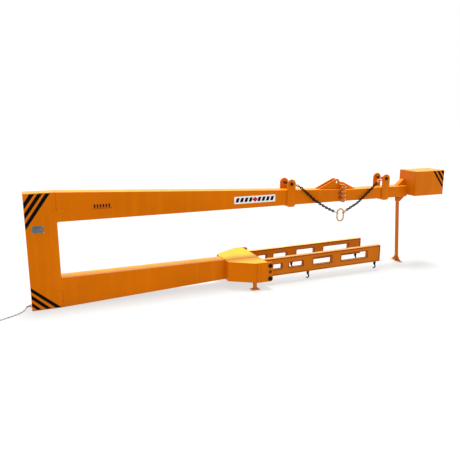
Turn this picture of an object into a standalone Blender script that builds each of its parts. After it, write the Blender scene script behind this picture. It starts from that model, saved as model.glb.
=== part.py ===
"""Spreader beam for loading containers: a C-shaped boom with a lifting sling on its upper arm and a slotted
load frame on its lower arm.

Units are metres, +Z is up and +X runs from the column towards the counterweight. The origin is the centre of
the column's base plate, on the ground. Lengths along the boom are measured from the column's outer face and
hang on the empty "column_face", which stands half a column depth behind the origin.
"""

import math

import bmesh
import bpy
from mathutils import Matrix, Vector

# ---------------------------------------------------------------- driving dimensions
GAP = 0.0003
BEAM_WIDTH = 0.245
HALF = BEAM_WIDTH / 2
COLUMN_DEPTH = 0.441
HEIGHT = 1.750
WALL = 0.008
CAP = 0.010

UPPER_BOTTOM = 1.310
SPLICE_X = 5.315
SPLICE_TOP = 1.520
OUTER_TOP = 1.513
BOX_X = (6.780, 7.447)
BOX_Y = (-0.334, 0.120)
BOX_Z = (1.343, 1.800)

LOWER_END = 3.060
LOWER_TOP = 0.458
LOWER_END_BOTTOM = 0.122

YOKE_Z = (0.125, 0.460)
YOKE_FRONT = 3.655
YOKE_STEP = 0.270
YOKE_HALF = 0.530
YOKE_FLARE_X = 3.440
CHEEK = 0.015
CHEEK_X = (3.475, 3.755)

SHAFT_X = 3.705
SHAFT_Z = (0.174, 0.396)
SHAFT_R = 0.020
SHAFT_HEAD_R = 0.036
SLEEVE_R = 0.027

RAIL_X = (3.665, 6.070)
RAIL_Z = (0.139, 0.449)
RAIL_CLIMB = 0.0118  # the rails rise slightly outwards, per metre from the shafts
RAIL_Y = 0.301
RAIL_THICK = 0.060
RAIL_WALL = 0.006
WINDOWS = (
    (3.855, 4.036, 0.244, 0.347),
    (4.163, 4.451, 0.244, 0.347),
    (4.642, 5.033, 0.233, 0.369),
    (5.222, 5.798, 0.233, 0.369),
)
HOOK_X = (4.560, 5.985)
HOOK_PIN_Z = 0.111

CLEVIS_X = (4.280, 6.260)
CLEVIS_PLATE = 0.022
EAR_R = 0.0775
PIN_Z = 1.6745
PIN_R = 0.018

LEG_Y = 0.040
LEG_HINGE = (6.700, 1.245)
LEG_FOOT_X = 6.783
LEG_SIDE = 0.050

STUB_X = 3.455
STUB_Y = 0.470

CHAIN_D = 0.013
CHAIN_PITCH = 0.039
SLING_Y = -0.052
SLING_Z = 1.660
MASTER_X = 5.275
MASTER_Y = -0.163
MASTER_EYE_Z = 1.108
MASTER_D = 0.026

ROPE_R = 0.009
COIL_CENTRE = (-0.690, -0.455)
COIL_R = (0.073, 0.127)
COIL_HEIGHT = 0.036

ORANGE = (0.62, 0.17, 0.012)
BROWN_ORANGE = (0.44, 0.10, 0.012)
BLACK_STEEL = (0.02, 0.02, 0.022)
ZINC = (0.62, 0.62, 0.60)
BRASS = (0.55, 0.33, 0.12)

# ---------------------------------------------------------------- scene and small helpers
for old in list(bpy.data.objects):
    bpy.data.objects.remove(old, do_unlink=True)

PARTS = bpy.data.collections.new("spreader_beam")
CUTTERS = bpy.data.collections.new("cutters")
bpy.context.scene.collection.children.link(PARTS)
bpy.context.scene.collection.children.link(CUTTERS)

datum = bpy.data.objects.new("column_face", None)
datum.location = (-COLUMN_DEPTH / 2, 0, 0)
PARTS.objects.link(datum)


def material(name, colour, roughness, metallic=0.0):
    mat = bpy.data.materials.new(name)
    mat.use_nodes = True
    shader = mat.node_tree.nodes["Principled BSDF"]
    shader.inputs["Base Color"].default_value = (*colour, 1)
    shader.inputs["Roughness"].default_value = roughness
    shader.inputs["Metallic"].default_value = metallic
    mat.diffuse_color = (*colour, 1)
    return mat


def finish(obj, look, collection=PARTS, parent=datum):
    """Link an object, give it its own material and hang it on its parent."""
    collection.objects.link(obj)
    if look:
        obj.data.materials.clear()
        obj.data.materials.append(material(obj.name, *look))
    obj.parent = parent
    return obj


PAINT = (ORANGE, 0.3)
RAIL_PAINT = (BROWN_ORANGE, 0.38)
STEEL = (BLACK_STEEL, 0.45, 0.6)
PLATED = (ZINC, 0.35, 0.9)


def mesh_object(name, bm, look=None, collection=PARTS, parent=datum):
    bmesh.ops.recalc_face_normals(bm, faces=bm.faces)
    mesh = bpy.data.meshes.new(name)
    bm.to_mesh(mesh)
    bm.free()
    return finish(bpy.data.objects.new(name, mesh), look, collection, parent)


def tool(obj):
    """Mark an object as a cutter or a joiner: it shapes others and isn't a part."""
    obj.hide_render = True
    obj.display_type = "WIRE"
    return obj


def boolean(obj, other, operation="DIFFERENCE"):
    modifier = obj.modifiers.new(operation.lower(), "BOOLEAN")
    modifier.object = other
    modifier.operation = operation
    return obj


def bevel(obj, width, segments=1, angle=40):
    modifier = obj.modifiers.new("bevel", "BEVEL")
    modifier.width = width
    modifier.segments = segments
    modifier.limit_method = "ANGLE"
    modifier.angle_limit = math.radians(angle)
    return obj


def box_bm(x, y, z, bm=None):
    """A box between pairs of coordinates, added to bm."""
    bm = bm or bmesh.new()
    size = Vector((x[1] - x[0], y[1] - y[0], z[1] - z[0]))
    centre = Vector((sum(x) / 2, sum(y) / 2, sum(z) / 2))
    bmesh.ops.create_cube(bm, size=1, matrix=Matrix.LocRotScale(centre, None, size))
    return bm


def box(name, x, y, z, look=None, collection=PARTS, parent=datum):
    return mesh_object(name, box_bm(x, y, z), look, collection, parent)


AXES = {
    "X": Matrix.Rotation(math.pi / 2, 4, "Y"),
    "Y": Matrix.Rotation(-math.pi / 2, 4, "X"),
    "Z": Matrix.Identity(4),
}


def rod_bm(centre, axis, radius, length, sides=16, bm=None, turn=0.0):
    """A cylinder or prism centred at a point, added to bm."""
    bm = bm or bmesh.new()
    place = Matrix.Translation(centre) @ AXES[axis] @ Matrix.Rotation(turn, 4, "Z")
    bmesh.ops.create_cone(
        bm,
        cap_ends=True,
        segments=sides,
        radius1=radius,
        radius2=radius,
        depth=length,
        matrix=place,
    )
    return bm


def rods(name, centres, axis, radius, length, sides=16, turn=0.0):
    """A helper object of several cylinders."""
    bm = bmesh.new()
    for centre in centres:
        rod_bm(centre, axis, radius, length, sides, bm, turn)
    return tool(mesh_object(name, bm, collection=CUTTERS))


def round_corners(points, radius, steps=3):
    """The outline with each corner replaced by an arc. A corner may carry its own radius as a third value."""
    result = []
    count = len(points)
    for i, point in enumerate(points):
        here = Vector(point[:2])
        before = Vector(points[i - 1][:2]) - here
        after = Vector(points[(i + 1) % count][:2]) - here
        r = point[2] if len(point) > 2 else radius
        if r <= 0:
            result.append(tuple(here))
            continue
        half = before.angle(after) / 2
        reach = min(r / math.tan(half), before.length * 0.49, after.length * 0.49)
        start = here + before.normalized() * reach
        end = here + after.normalized() * reach
        for k in range(steps + 1):
            t = k / steps
            result.append(tuple(start * (1 - t) ** 2 + here * 2 * t * (1 - t) + end * t**2))
    return result


def flat(name, outlines, half_thickness, plane, at, look=None, collection=PARTS, parent=datum):
    """A plate from a 2D outline and its holes, in the XZ or the XY plane, made a mesh."""
    curve = bpy.data.curves.new(name, "CURVE")
    curve.dimensions = "2D"
    curve.fill_mode = "BOTH"
    curve.extrude = half_thickness
    for outline in outlines:
        spline = curve.splines.new("POLY")
        spline.points.add(len(outline) - 1)
        for point, (a, b) in zip(spline.points, outline):
            point.co = (a, b, 0, 1)
        spline.use_cyclic_u = True
    guide = bpy.data.objects.new(name + "_curve", curve)
    CUTTERS.objects.link(guide)
    if plane == "XZ":
        guide.matrix_world = Matrix.Translation((0, at, 0)) @ Matrix.Rotation(math.pi / 2, 4, "X")
    else:
        guide.matrix_world = Matrix.Translation((0, 0, at))
    place = guide.matrix_world.copy()
    bpy.context.view_layer.update()
    evaluated = guide.evaluated_get(bpy.context.evaluated_depsgraph_get())
    mesh = bpy.data.meshes.new_from_object(evaluated)
    bpy.data.objects.remove(guide, do_unlink=True)
    bm = bmesh.new()
    bm.from_mesh(mesh)
    bpy.data.meshes.remove(mesh)
    bmesh.ops.transform(bm, matrix=place, verts=bm.verts)
    bmesh.ops.remove_doubles(bm, verts=bm.verts, dist=1e-5)
    if len(outlines) == 1:
        bmesh.ops.dissolve_limit(bm, angle_limit=0.001, verts=bm.verts, edges=bm.edges)
    return mesh_object(name, bm, look, collection, parent)


def rectangle(x, z, radius=0.0, steps=2):
    corners = ((x[0], z[0]), (x[1], z[0]), (x[1], z[1]), (x[0], z[1]))
    return round_corners(corners, radius, steps) if radius else list(corners)


def lathe(name, profile, axis, at, look, steps=16, parent=datum):
    """A turned part: the profile holds (radius, height) pairs from top to bottom."""
    mesh = bpy.data.meshes.new(name)
    bm = bmesh.new()
    verts = [bm.verts.new((r, 0, h)) for r, h in profile]
    for a, b in zip(verts, verts[1:]):
        bm.edges.new((a, b))
    bm.to_mesh(mesh)
    bm.free()
    obj = finish(bpy.data.objects.new(name, mesh), look, parent=parent)
    obj.matrix_local = Matrix.Translation(at) @ AXES[axis]
    screw = obj.modifiers.new("turn", "SCREW")
    screw.axis = "Z"
    screw.steps = steps
    screw.render_steps = steps
    screw.use_merge_vertices = True
    screw.merge_threshold = 0.0001
    screw.use_smooth_shade = False
    return obj


def mirrored(z_or_y):
    """The near (-Y) and far (+Y) copies of a value."""
    return (("near", -z_or_y), ("far", z_or_y))


# ---------------------------------------------------------------- column and arms
def hollow(name, outline, cavity, look, radius=0.006):
    """A welded box section: an outline in XZ, as wide as the beam, with a cavity that leaves its ends open."""
    section = bevel(flat(name, [outline], HALF, "XZ", 0, look), radius, 2)
    hole = tool(flat(name + "_cavity", [cavity], HALF - WALL, "XZ", 0, collection=CUTTERS))
    return boolean(section, hole)


def upper_top(x):
    """Height of the inner upper arm's top at a distance from the column's outer face."""
    run = (x - COLUMN_DEPTH) / (SPLICE_X - 0.02 - COLUMN_DEPTH)
    return HEIGHT + (SPLICE_TOP - HEIGHT) * run


def lower_bottom(x):
    return LOWER_END_BOTTOM * (x - COLUMN_DEPTH) / (LOWER_END - COLUMN_DEPTH)


def build_frame():
    hollow(
        "column",
        rectangle((0, COLUMN_DEPTH), (CAP + GAP, HEIGHT - CAP - GAP)),
        rectangle((WALL, COLUMN_DEPTH - WALL), (-0.1, HEIGHT + 0.1)),
        PAINT,
    )
    for name, z in (("column_base_plate", (0, CAP)), ("column_top_cap", (HEIGHT - CAP, HEIGHT))):
        bevel(box(name, (0, COLUMN_DEPTH), (-HALF, HALF), z, PAINT), 0.002)

    start, end = COLUMN_DEPTH + GAP, SPLICE_X - 0.02 - GAP
    hollow(
        "upper_arm_inner",
        [(start, UPPER_BOTTOM), (end, UPPER_BOTTOM), (end, SPLICE_TOP), (start, HEIGHT)],
        [
            (start - 0.1, UPPER_BOTTOM + WALL),
            (end + 0.1, UPPER_BOTTOM + WALL),
            (end + 0.1, upper_top(end + 0.1) - WALL),
            (start - 0.1, upper_top(start - 0.1) - WALL),
        ],
        PAINT,
    )
    start, end = SPLICE_X + 0.02 + GAP, BOX_X[0] - GAP
    hollow(
        "upper_arm_outer",
        rectangle((start, end), (UPPER_BOTTOM, OUTER_TOP)),
        rectangle((start - 0.1, end + 0.1), (UPPER_BOTTOM + WALL, OUTER_TOP - WALL)),
        PAINT,
    )
    start, end = COLUMN_DEPTH + GAP, LOWER_END - GAP
    hollow(
        "lower_arm",
        [(start, 0), (end, LOWER_END_BOTTOM), (end, LOWER_TOP), (start, LOWER_TOP)],
        [
            (start - 0.1, lower_bottom(start - 0.1) + WALL),
            (end + 0.1, lower_bottom(end + 0.1) + WALL),
            (end + 0.1, LOWER_TOP - WALL),
            (start - 0.1, LOWER_TOP - WALL),
        ],
        PAINT,
    )
    build_doublers()


def build_doublers():
    """Kidney-shaped plates that reinforce the welds at the column's two inner corners."""
    upper = (
        (0.338, 1.105, 0.03),
        (0.425, 1.105, 0.03),
        (0.432, 1.322, 0.04),
        (0.668, 1.322, 0.03),
        (0.640, 1.425, 0.05),
        (0.520, 1.490, 0.10),
        (0.345, 1.420, 0.14),
    )
    lower = (
        (0.335, 0.645, 0.03),
        (0.338, 0.300, 0.14),
        (0.480, 0.262, 0.10),
        (0.640, 0.285, 0.05),
        (0.700, 0.425, 0.03),
        (0.430, 0.432, 0.04),
        (0.410, 0.645, 0.03),
    )
    thick = 0.008
    for label, outline in (("upper", upper), ("lower", lower)):
        for side, y in mirrored(HALF + GAP + thick / 2):
            name = f"{label}_doubler_{side}"
            flat(name, [round_corners(outline, 0.03, 3)], thick / 2, "XZ", y, PAINT)


# ---------------------------------------------------------------- splice and centre lug
BOLT_Z = (1.345, 1.4183, 1.4916, 1.565)
BOLT_Y = 0.163


def add_ribs(flange):
    """Small stiffeners between the bolts, from the arm's sides to the flange, clear of the washer strip."""
    inner = HALF + GAP
    ribs = bmesh.new()
    for side in (-1, 1):
        outline = [
            (SPLICE_X - 0.019, side * inner),
            (SPLICE_X - 0.080, side * inner),
            (SPLICE_X - 0.0255, side * 0.186),
            (SPLICE_X - 0.0255, side * 0.1452),
            (SPLICE_X - 0.019, side * 0.1452),
        ]
        for low, high in zip(BOLT_Z, BOLT_Z[1:]):
            middle = (low + high) / 2
            rings = [[ribs.verts.new((x, y, z)) for x, y in outline] for z in (middle - 0.004, middle + 0.004)]
            ribs.faces.new(rings[0])
            ribs.faces.new(rings[1])
            for k in range(len(outline)):
                after = (k + 1) % len(outline)
                ribs.faces.new((rings[0][k], rings[0][after], rings[1][after], rings[1][k]))
    boolean(flange, tool(mesh_object("flange_ribs", ribs, collection=CUTTERS)), "UNION")


def build_splice():
    shank_holes = rods(
        "splice_holes",
        [(SPLICE_X, side * BOLT_Y, z) for side in (-1, 1) for z in BOLT_Z],
        "X",
        0.0115,
        0.2,
        8,
    )
    for name, x in (
        ("splice_flange_inner", (SPLICE_X - 0.02, SPLICE_X - GAP)),
        ("splice_flange_outer", (SPLICE_X + GAP, SPLICE_X + 0.02)),
    ):
        flange = box(name, x, (-0.195, 0.195), (1.302, 1.612), PAINT)
        boolean(flange, shank_holes)
        if name == "splice_flange_inner":
            add_ribs(flange)

    for side, y in mirrored(BOLT_Y):
        name = "splice_bolts_" + side
        back = SPLICE_X - 0.02 - GAP
        strip = box(name, (back - 0.004, back), (y - 0.017, y + 0.017), (1.325, 1.585), PLATED)
        centres = [(y, z) for z in BOLT_Z]
        shank = (back - 0.012, SPLICE_X + 0.052)
        parts = (
            ("heads", (back - 0.019, back - 0.002), 0.0165, 6),
            ("shanks", shank, 0.010, 8),
            ("nuts", (SPLICE_X + 0.02 + GAP, SPLICE_X + 0.040), 0.0165, 6),
        )
        for label, x, radius, sides in parts:
            places = [(sum(x) / 2, a, b) for a, b in centres]
            joiner = rods(f"{name}_{label}", places, "X", radius, x[1] - x[0], sides)
            boolean(strip, joiner, "UNION")

    thick = 0.018
    lug_x, lug_z, lug_r = 5.235, 1.650, 0.060
    lug_arc = [
        (lug_x + lug_r * math.sin(a), lug_z + lug_r * math.cos(a))
        for a in [math.radians(d) for d in range(-35, 92, 14)]
    ]
    back = SPLICE_X - 0.02 - GAP
    inner = [(4.850, upper_top(4.850) + GAP), *lug_arc, (back, 1.630), (back, SPLICE_TOP + GAP)]
    hole = [
        (lug_x + 0.022 * math.cos(a), lug_z + 0.022 * math.sin(a))
        for a in [math.radians(20 * k) for k in range(18)]
    ]
    front = SPLICE_X + 0.02 + GAP
    outer = [(front, OUTER_TOP + GAP), (5.640, OUTER_TOP + GAP), (front + 0.03, 1.648), (front, 1.648)]
    for side, y in mirrored(0.055):
        flat("lug_plate_" + side, [inner, hole], thick / 2, "XZ", y, PAINT)
        flat("outer_gusset_" + side, [outer], thick / 2, "XZ", y, PAINT)


# ---------------------------------------------------------------- clevises, pins and couplings
def build_clevis(label, x):
    """A saddle that hangs round the boom, with two ears that carry the sling pin."""
    half_width = EAR_R
    bottom = 1.278
    ear = [
        (x + EAR_R * math.cos(a), PIN_Z + EAR_R * math.sin(a))
        for a in [math.radians(d) for d in range(0, 181, 12)]
    ]
    outline = [
        (x - half_width + 0.03, bottom),
        (x + half_width - 0.03, bottom),
        (x + half_width, bottom + 0.03),
        *ear,
        (x - half_width, bottom + 0.03),
    ]
    name = "clevis_" + label
    outer_y = HALF + GAP + CLEVIS_PLATE
    saddle = flat(name, [outline], outer_y, "XZ", 0, PAINT)
    throat = box_bm((x - 0.2, x + 0.2), (-HALF - GAP, HALF + GAP), (UPPER_BOTTOM - GAP, 2.0))
    boolean(saddle, tool(mesh_object(name + "_throat", throat, collection=CUTTERS)))
    hole = rods(name + "_hole", [(x, 0, PIN_Z)], "Y", PIN_R + 0.001, 0.5, 16)
    boolean(saddle, hole)

    reach = outer_y + 0.001
    profile = (
        (0, reach + 0.020),
        (0.0285, reach + 0.020),
        (0.0285, reach),
        (PIN_R, reach),
        (PIN_R, -reach),
        (0.0285, -reach),
        (0.0285, -reach - 0.022),
        (0.012, -reach - 0.022),
        (0.012, -reach - 0.034),
        (0, -reach - 0.034),
    )
    pin = lathe("clevis_pin_" + label, profile, "Y", (x, 0, PIN_Z), STEEL, 16)
    return saddle, pin


def loop_mesh(name, centres, radius, wire, normal, turns, sides_level, look, parent, collection=PARTS):
    """A closed oval link: two half circles of a radius about two centres, in the plane across a normal."""
    a, b = Vector(centres[0]), Vector(centres[1])
    along = (b - a).normalized()
    across = Vector(normal).cross(along).normalized()
    points = []
    for centre, sign in ((b, 1), (a, -1)):
        for k in range(turns + 1):
            angle = math.pi * k / turns
            points.append(
                centre + across * radius * math.cos(angle) * sign + along * radius * math.sin(angle) * sign
            )
    curve = bpy.data.curves.new(name, "CURVE")
    curve.dimensions = "3D"
    curve.bevel_depth = wire / 2
    curve.bevel_resolution = sides_level
    spline = curve.splines.new("POLY")
    spline.points.add(len(points) - 1)
    for point, place in zip(spline.points, points):
        point.co = (*place, 1)
    spline.use_cyclic_u = True
    obj = bpy.data.objects.new(name, curve)
    return finish(obj, look, collection, parent)


# ---------------------------------------------------------------- counterweight
def build_counterweight():
    x, y, z = BOX_X, BOX_Y, BOX_Z
    cover = 0.010
    body = box("counterweight_box", (x[0], x[1] - cover - GAP), y, z, PAINT)
    bevel(body, 0.006, 2)
    inner = box(
        "counterweight_cavity",
        (x[0] + 0.010, x[1] + 0.1),
        (y[0] + 0.008, y[1] - 0.008),
        (z[0] + 0.008, z[1] - 0.008),
        collection=CUTTERS,
    )
    boolean(body, tool(inner))
    bevel(box("counterweight_cover", (x[1] - cover, x[1]), y, z, PAINT), 0.003)
    block = box(
        "ballast_block",
        (x[0] + 0.011, x[1] - cover - 0.002),
        (y[0] + 0.0083, y[1] - 0.0083),
        (z[0] + 0.0083, z[0] + 0.330),
        (BLACK_STEEL, 0.7, 0.3),
    )
    bevel(block, 0.004)
    gusset = [
        (6.600, OUTER_TOP + GAP),
        (x[0] - GAP, OUTER_TOP + GAP),
        (x[0] - GAP, 1.628),
        (x[0] - 0.045, 1.628),
    ]
    flat("counterweight_gusset", [gusset], 0.045, "XZ", 0, PAINT)


# ---------------------------------------------------------------- prop leg
def build_prop_leg():
    hinge_x, hinge_z = LEG_HINGE
    top = UPPER_BOTTOM - GAP
    cheek = 0.008
    inner = LEG_SIDE / 2 + 0.001
    outline = [(6.668, top), (6.862, top), (6.762, 1.222), (6.735, 1.198), (6.676, 1.198), (6.668, 1.212)]
    bracket = flat("leg_bracket", [outline], inner + cheek, "XZ", LEG_Y, RAIL_PAINT)
    slot = [(6.50, 1.0), (6.7315, 1.0), (6.7315, top - 0.010), (6.50, top - 0.010)]
    boolean(bracket, tool(flat("leg_slot", [slot], inner, "XZ", LEG_Y, collection=CUTTERS)))
    bore = rods("leg_bore", [(hinge_x, LEG_Y, hinge_z)], "Y", 0.011, 0.2, 12)
    boolean(bracket, bore)
    reach = inner + cheek + 0.001
    profile = (
        (0, reach + 0.010),
        (0.016, reach + 0.010),
        (0.016, reach),
        (0.010, reach),
        (0.010, -reach),
        (0.016, -reach),
        (0.016, -reach - 0.010),
        (0, -reach - 0.010),
    )
    lathe("leg_hinge_pin", profile, "Y", (hinge_x, LEG_Y, hinge_z), STEEL, 12)

    pivot = bpy.data.objects.new("leg_pivot", None)
    PARTS.objects.link(pivot)
    pivot.parent = datum
    pivot.location = (hinge_x, LEG_Y, hinge_z)
    lean = math.atan2(LEG_FOOT_X - hinge_x, hinge_z)
    reach_down = hinge_z / math.cos(lean)
    half = LEG_SIDE / 2

    # The leg hangs straight down in its own frame, and the pivot leans the whole leg.
    leg = mesh_object(
        "prop_leg",
        box_bm((-half, half), (-half, half), (-reach_down + 0.030, 0.020)),
        RAIL_PAINT,
        parent=pivot,
    )
    bevel(leg, 0.004, 1)
    bore = tool(mesh_object("leg_tube_bore", rod_bm((0, 0, 0), "Y", 0.011, 0.2, 12), None, CUTTERS, pivot))
    boolean(leg, bore)
    leg.rotation_euler = (0, -lean, 0)
    core = box_bm((-half + 0.004, half - 0.004), (-half + 0.004, half - 0.004), (-3, 1))
    core = tool(mesh_object("leg_core", core, None, CUTTERS, pivot))
    core.rotation_euler = (0, -lean, 0)
    boolean(leg, core)

    # The foot stands level: a sole plate with fins along both directions round the leg's end.
    foot_x = LEG_FOOT_X - hinge_x
    ground = -hinge_z
    foot = box_bm((foot_x - 0.036, foot_x + 0.036), (-0.150, 0.150), (ground, ground + 0.008))
    foot = mesh_object("prop_leg_foot", foot, RAIL_PAINT, parent=pivot)
    long_fin = [(-0.143, 0.004), (0.143, 0.004), (0.143, 0.015), (0.083, 0.056), (0.036, 0.122)]
    long_fin += [(-a, h) for a, h in reversed(long_fin[2:])]
    short_fin = [(-0.033, 0.004), (0.033, 0.004), (0.033, 0.090), (-0.033, 0.090)]
    fins = bmesh.new()
    for points, span in ((long_fin, "Y"), (short_fin, "X")):
        shift = 0.002 if span == "X" else 0.0
        ring = []
        for side in (-0.004, 0.004):
            verts = []
            for a, h in points:
                lean_x = foot_x - (h / hinge_z) * foot_x
                x, y = (lean_x + side, a) if span == "Y" else (lean_x + a, side + shift)
                verts.append(fins.verts.new((x, y, ground + h)))
            ring.append(verts)
        fins.faces.new(ring[0])
        fins.faces.new(reversed(ring[1]))
        count = len(points)
        for k in range(count):
            fins.faces.new((ring[0][k], ring[1][k], ring[1][(k + 1) % count], ring[0][(k + 1) % count]))
    bmesh.ops.recalc_face_normals(fins, faces=fins.faces)
    shape = tool(mesh_object("leg_fins", fins, None, CUTTERS, pivot))
    joiner = boolean(foot, shape, "UNION")
    joiner.modifiers[-1].use_self = True
    socket = box_bm((-half - GAP, half + GAP), (-half - GAP, half + GAP), (-reach_down + 0.030 - GAP, 0.1))
    socket = tool(mesh_object("leg_socket", socket, None, CUTTERS, pivot))
    socket.rotation_euler = (0, -lean, 0)
    boolean(foot, socket)


# ---------------------------------------------------------------- yoke, shafts and rails
def build_yoke():
    def plan(step, half, flare_x, x0, x1):
        side = [(x0, step), (flare_x, half), (x1, half)]
        return side + [(x, -y) for x, y in reversed(side)]

    z0, z1 = YOKE_Z
    outline = plan(YOKE_STEP, YOKE_HALF - CHEEK - GAP, YOKE_FLARE_X, LOWER_END, YOKE_FRONT)
    middle = (z0 + z1) / 2
    body = bevel(flat("yoke_body", [outline], (z1 - z0) / 2, "XY", middle, PAINT), 0.006, 2)
    wall = 0.010
    cavity = plan(
        YOKE_STEP - wall, YOKE_HALF - CHEEK - GAP - wall, YOKE_FLARE_X, LOWER_END + wall, YOKE_FRONT + 0.1
    )
    hole = flat("yoke_cavity", [cavity], (z1 - z0) / 2 - wall, "XY", middle, collection=CUTTERS)
    boolean(body, tool(hole))

    x0, x1 = CHEEK_X
    cheek = round_corners(
        ((x0, z0, 0.01), (x1, z0, 0.045), (x1, z1, 0.045), (x0, z1, 0.01)), 0.045, 4
    )
    centres = [(SHAFT_X, z, SHAFT_R + 0.001) for z in SHAFT_Z] + [(SHAFT_X, 0.290, 0.012)]
    holes = [
        [(x + r * math.cos(math.tau * k / 12), z + r * math.sin(math.tau * k / 12)) for k in range(12)]
        for x, z, r in centres
    ]
    for side, y in mirrored(YOKE_HALF - CHEEK / 2):
        flat("yoke_cheek_" + side, [cheek, *holes], CHEEK / 2, "XZ", y, PAINT)

    reach = YOKE_HALF + 0.0005
    profile = (
        (0, reach + 0.022),
        (SHAFT_HEAD_R - 0.005, reach + 0.022),
        (SHAFT_HEAD_R, reach + 0.016),
        (SHAFT_HEAD_R, reach),
        (SHAFT_R, reach),
        (SHAFT_R, -reach),
        (SHAFT_HEAD_R, -reach),
        (SHAFT_HEAD_R, -reach - 0.016),
        (SHAFT_HEAD_R - 0.005, -reach - 0.022),
        (0, -reach - 0.022),
    )
    inner_face = RAIL_Y - RAIL_THICK / 2 - 0.001
    for label, z in (("lower", SHAFT_Z[0]), ("upper", SHAFT_Z[1])):
        lathe("cross_shaft_" + label, profile, "Y", (SHAFT_X, 0, z), STEEL, 16)
        spacer = mesh_object(
            "spacer_tube_" + label, rod_bm((SHAFT_X, 0, z), "Y", SLEEVE_R, 2 * inner_face, 16), RAIL_PAINT
        )
        boolean(spacer, rods(f"spacer_{label}_bore", [(SHAFT_X, 0, z)], "Y", SHAFT_R + 0.001, 1.2, 16))


def climb(points):
    """An outline of the level rail, sheared to the rail's slight rise."""
    return [(x, z + RAIL_CLIMB * (x - SHAFT_X)) for x, z in points]


def build_rail(side, y):
    """A box-section rail with four lined windows and two sleeves that ride on the cross shafts."""
    x, z = RAIL_X, RAIL_Z
    name = "rail_" + side
    windows = [climb(rectangle(w[:2], w[2:], 0.020, 2)) for w in WINDOWS]
    rail = flat(name, [climb(rectangle(x, z)), *windows], RAIL_THICK / 2, "XZ", y, RAIL_PAINT)
    t = RAIL_WALL
    linings = [
        climb(rectangle((w[0] - t, w[1] + t), (w[2] - t, w[3] + t), 0.020 + t, 2)) for w in WINDOWS
    ]
    cavity = climb(rectangle((x[0] - 0.05, x[1] - t), (z[0] + t, z[1] - t)))
    hole = flat(name + "_cavity", [cavity, *linings], RAIL_THICK / 2 - t, "XZ", y, collection=CUTTERS)
    boolean(rail, tool(hole))
    sign = 1 if y > 0 else -1
    ends = (abs(y) - RAIL_THICK / 2 - 0.0005, YOKE_HALF - CHEEK - 0.001)
    middle, length = sign * sum(ends) / 2, ends[1] - ends[0]
    sleeve_z = [(SHAFT_X, middle, height) for height in SHAFT_Z]
    boolean(rail, rods(name + "_wall_holes", sleeve_z, "Y", SLEEVE_R - 0.0035, 0.6, 12, math.pi / 12))
    sleeves = rods(name + "_sleeves", sleeve_z, "Y", SLEEVE_R, length, 12)
    boolean(sleeves, rods(name + "_bores", sleeve_z, "Y", SHAFT_R + 0.001, 0.6, 12))
    boolean(rail, sleeves, "UNION")


def build_stub_foot(side, y):
    """A short post with gussets between the yoke's underside and a base plate."""
    top = YOKE_Z[0] - GAP
    name = "stub_foot_" + side
    foot = box(name, (STUB_X - 0.075, STUB_X + 0.075), (y - 0.055, y + 0.055), (0, 0.008), RAIL_PAINT)
    profile = [
        (STUB_X - 0.055, 0.004),
        (STUB_X + 0.055, 0.004),
        (STUB_X + 0.055, 0.012),
        (STUB_X + 0.0275, 0.050),
        (STUB_X + 0.0275, 0.090),
        (STUB_X + 0.045, top),
        (STUB_X - 0.045, top),
        (STUB_X - 0.0275, 0.090),
        (STUB_X - 0.0275, 0.050),
        (STUB_X - 0.055, 0.012),
    ]
    fin = tool(flat(name + "_fin", [profile], 0.005, "XZ", y, collection=CUTTERS))
    boolean(foot, fin, "UNION")
    post = box_bm((STUB_X - 0.025, STUB_X + 0.025), (y - 0.025, y + 0.025), (0.003, top - 0.001))
    boolean(foot, tool(mesh_object(name + "_post", post, collection=CUTTERS)), "UNION")


# ---------------------------------------------------------------- hooks
def build_hook(label, x, y):
    """A welded lug under the rail, and a clevis hook that swings on it."""
    nose_r = 0.020  # less than the depth of the fork's slot, so that the hook can swing round it
    pin_z = climb([(x, HOOK_PIN_Z)])[0][1]
    nose = [
        (x + nose_r * math.sin(a), pin_z - nose_r * math.cos(a))
        for a in [math.radians(d) for d in range(-75, 76, 25)]
    ]
    left, right = climb([(x - 0.032, RAIL_Z[0] - GAP), (x + 0.032, RAIL_Z[0] - GAP)])
    lug = [left, *nose, right]
    hole = [
        (x + 0.008 * math.cos(math.tau * k / 10), pin_z + 0.008 * math.sin(math.tau * k / 10))
        for k in range(10)
    ]
    flat("hook_lug_" + label, [lug, hole], 0.005, "XZ", y, RAIL_PAINT)

    pivot = bpy.data.objects.new("hook_pivot_" + label, None)
    PARTS.objects.link(pivot)
    pivot.parent = datum
    pivot.location = (x, y, pin_z)

    # The hook is a bent bar in its own XZ plane, below a fork whose pin passes through the lug.
    bar = [
        (0.000, -0.026),
        (0.006, -0.042),
        (0.016, -0.057),
        (0.0185, -0.074),
        (0.011, -0.091),
        (-0.005, -0.101),
        (-0.023, -0.0985),
        (-0.033, -0.086),
    ]
    inner, outer = [], []
    for i, (px, pz) in enumerate(bar):
        before, after = bar[max(i - 1, 0)], bar[min(i + 1, len(bar) - 1)]
        along = Vector((after[0] - before[0], after[1] - before[1])).normalized()
        half = 0.0098 - 0.0040 * (i / (len(bar) - 1)) ** 3
        inner.append((px - along.y * half, pz + along.x * half))
        outer.append((px + along.y * half, pz - along.x * half))
    hook = flat("hook_" + label, [outer + inner[::-1]], 0.0088, "XZ", 0, STEEL, parent=pivot)
    fork = box_bm((-0.012, 0.012), (-0.0155, 0.0155), (-0.035, 0.012))
    fork = tool(mesh_object(f"fork_{label}", fork, None, CUTTERS, pivot))
    slot = box_bm((-0.03, 0.03), (-0.0062, 0.0062), (-0.0215, 0.03))
    slot = tool(mesh_object(f"slot_{label}", slot, None, CUTTERS, pivot))
    pin = tool(mesh_object(f"pin_{label}", rod_bm((0, 0, 0), "Y", 0.0065, 0.037, 8), None, CUTTERS, pivot))
    boolean(hook, fork, "UNION")
    boolean(hook, slot)
    boolean(hook, pin, "UNION")


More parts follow.
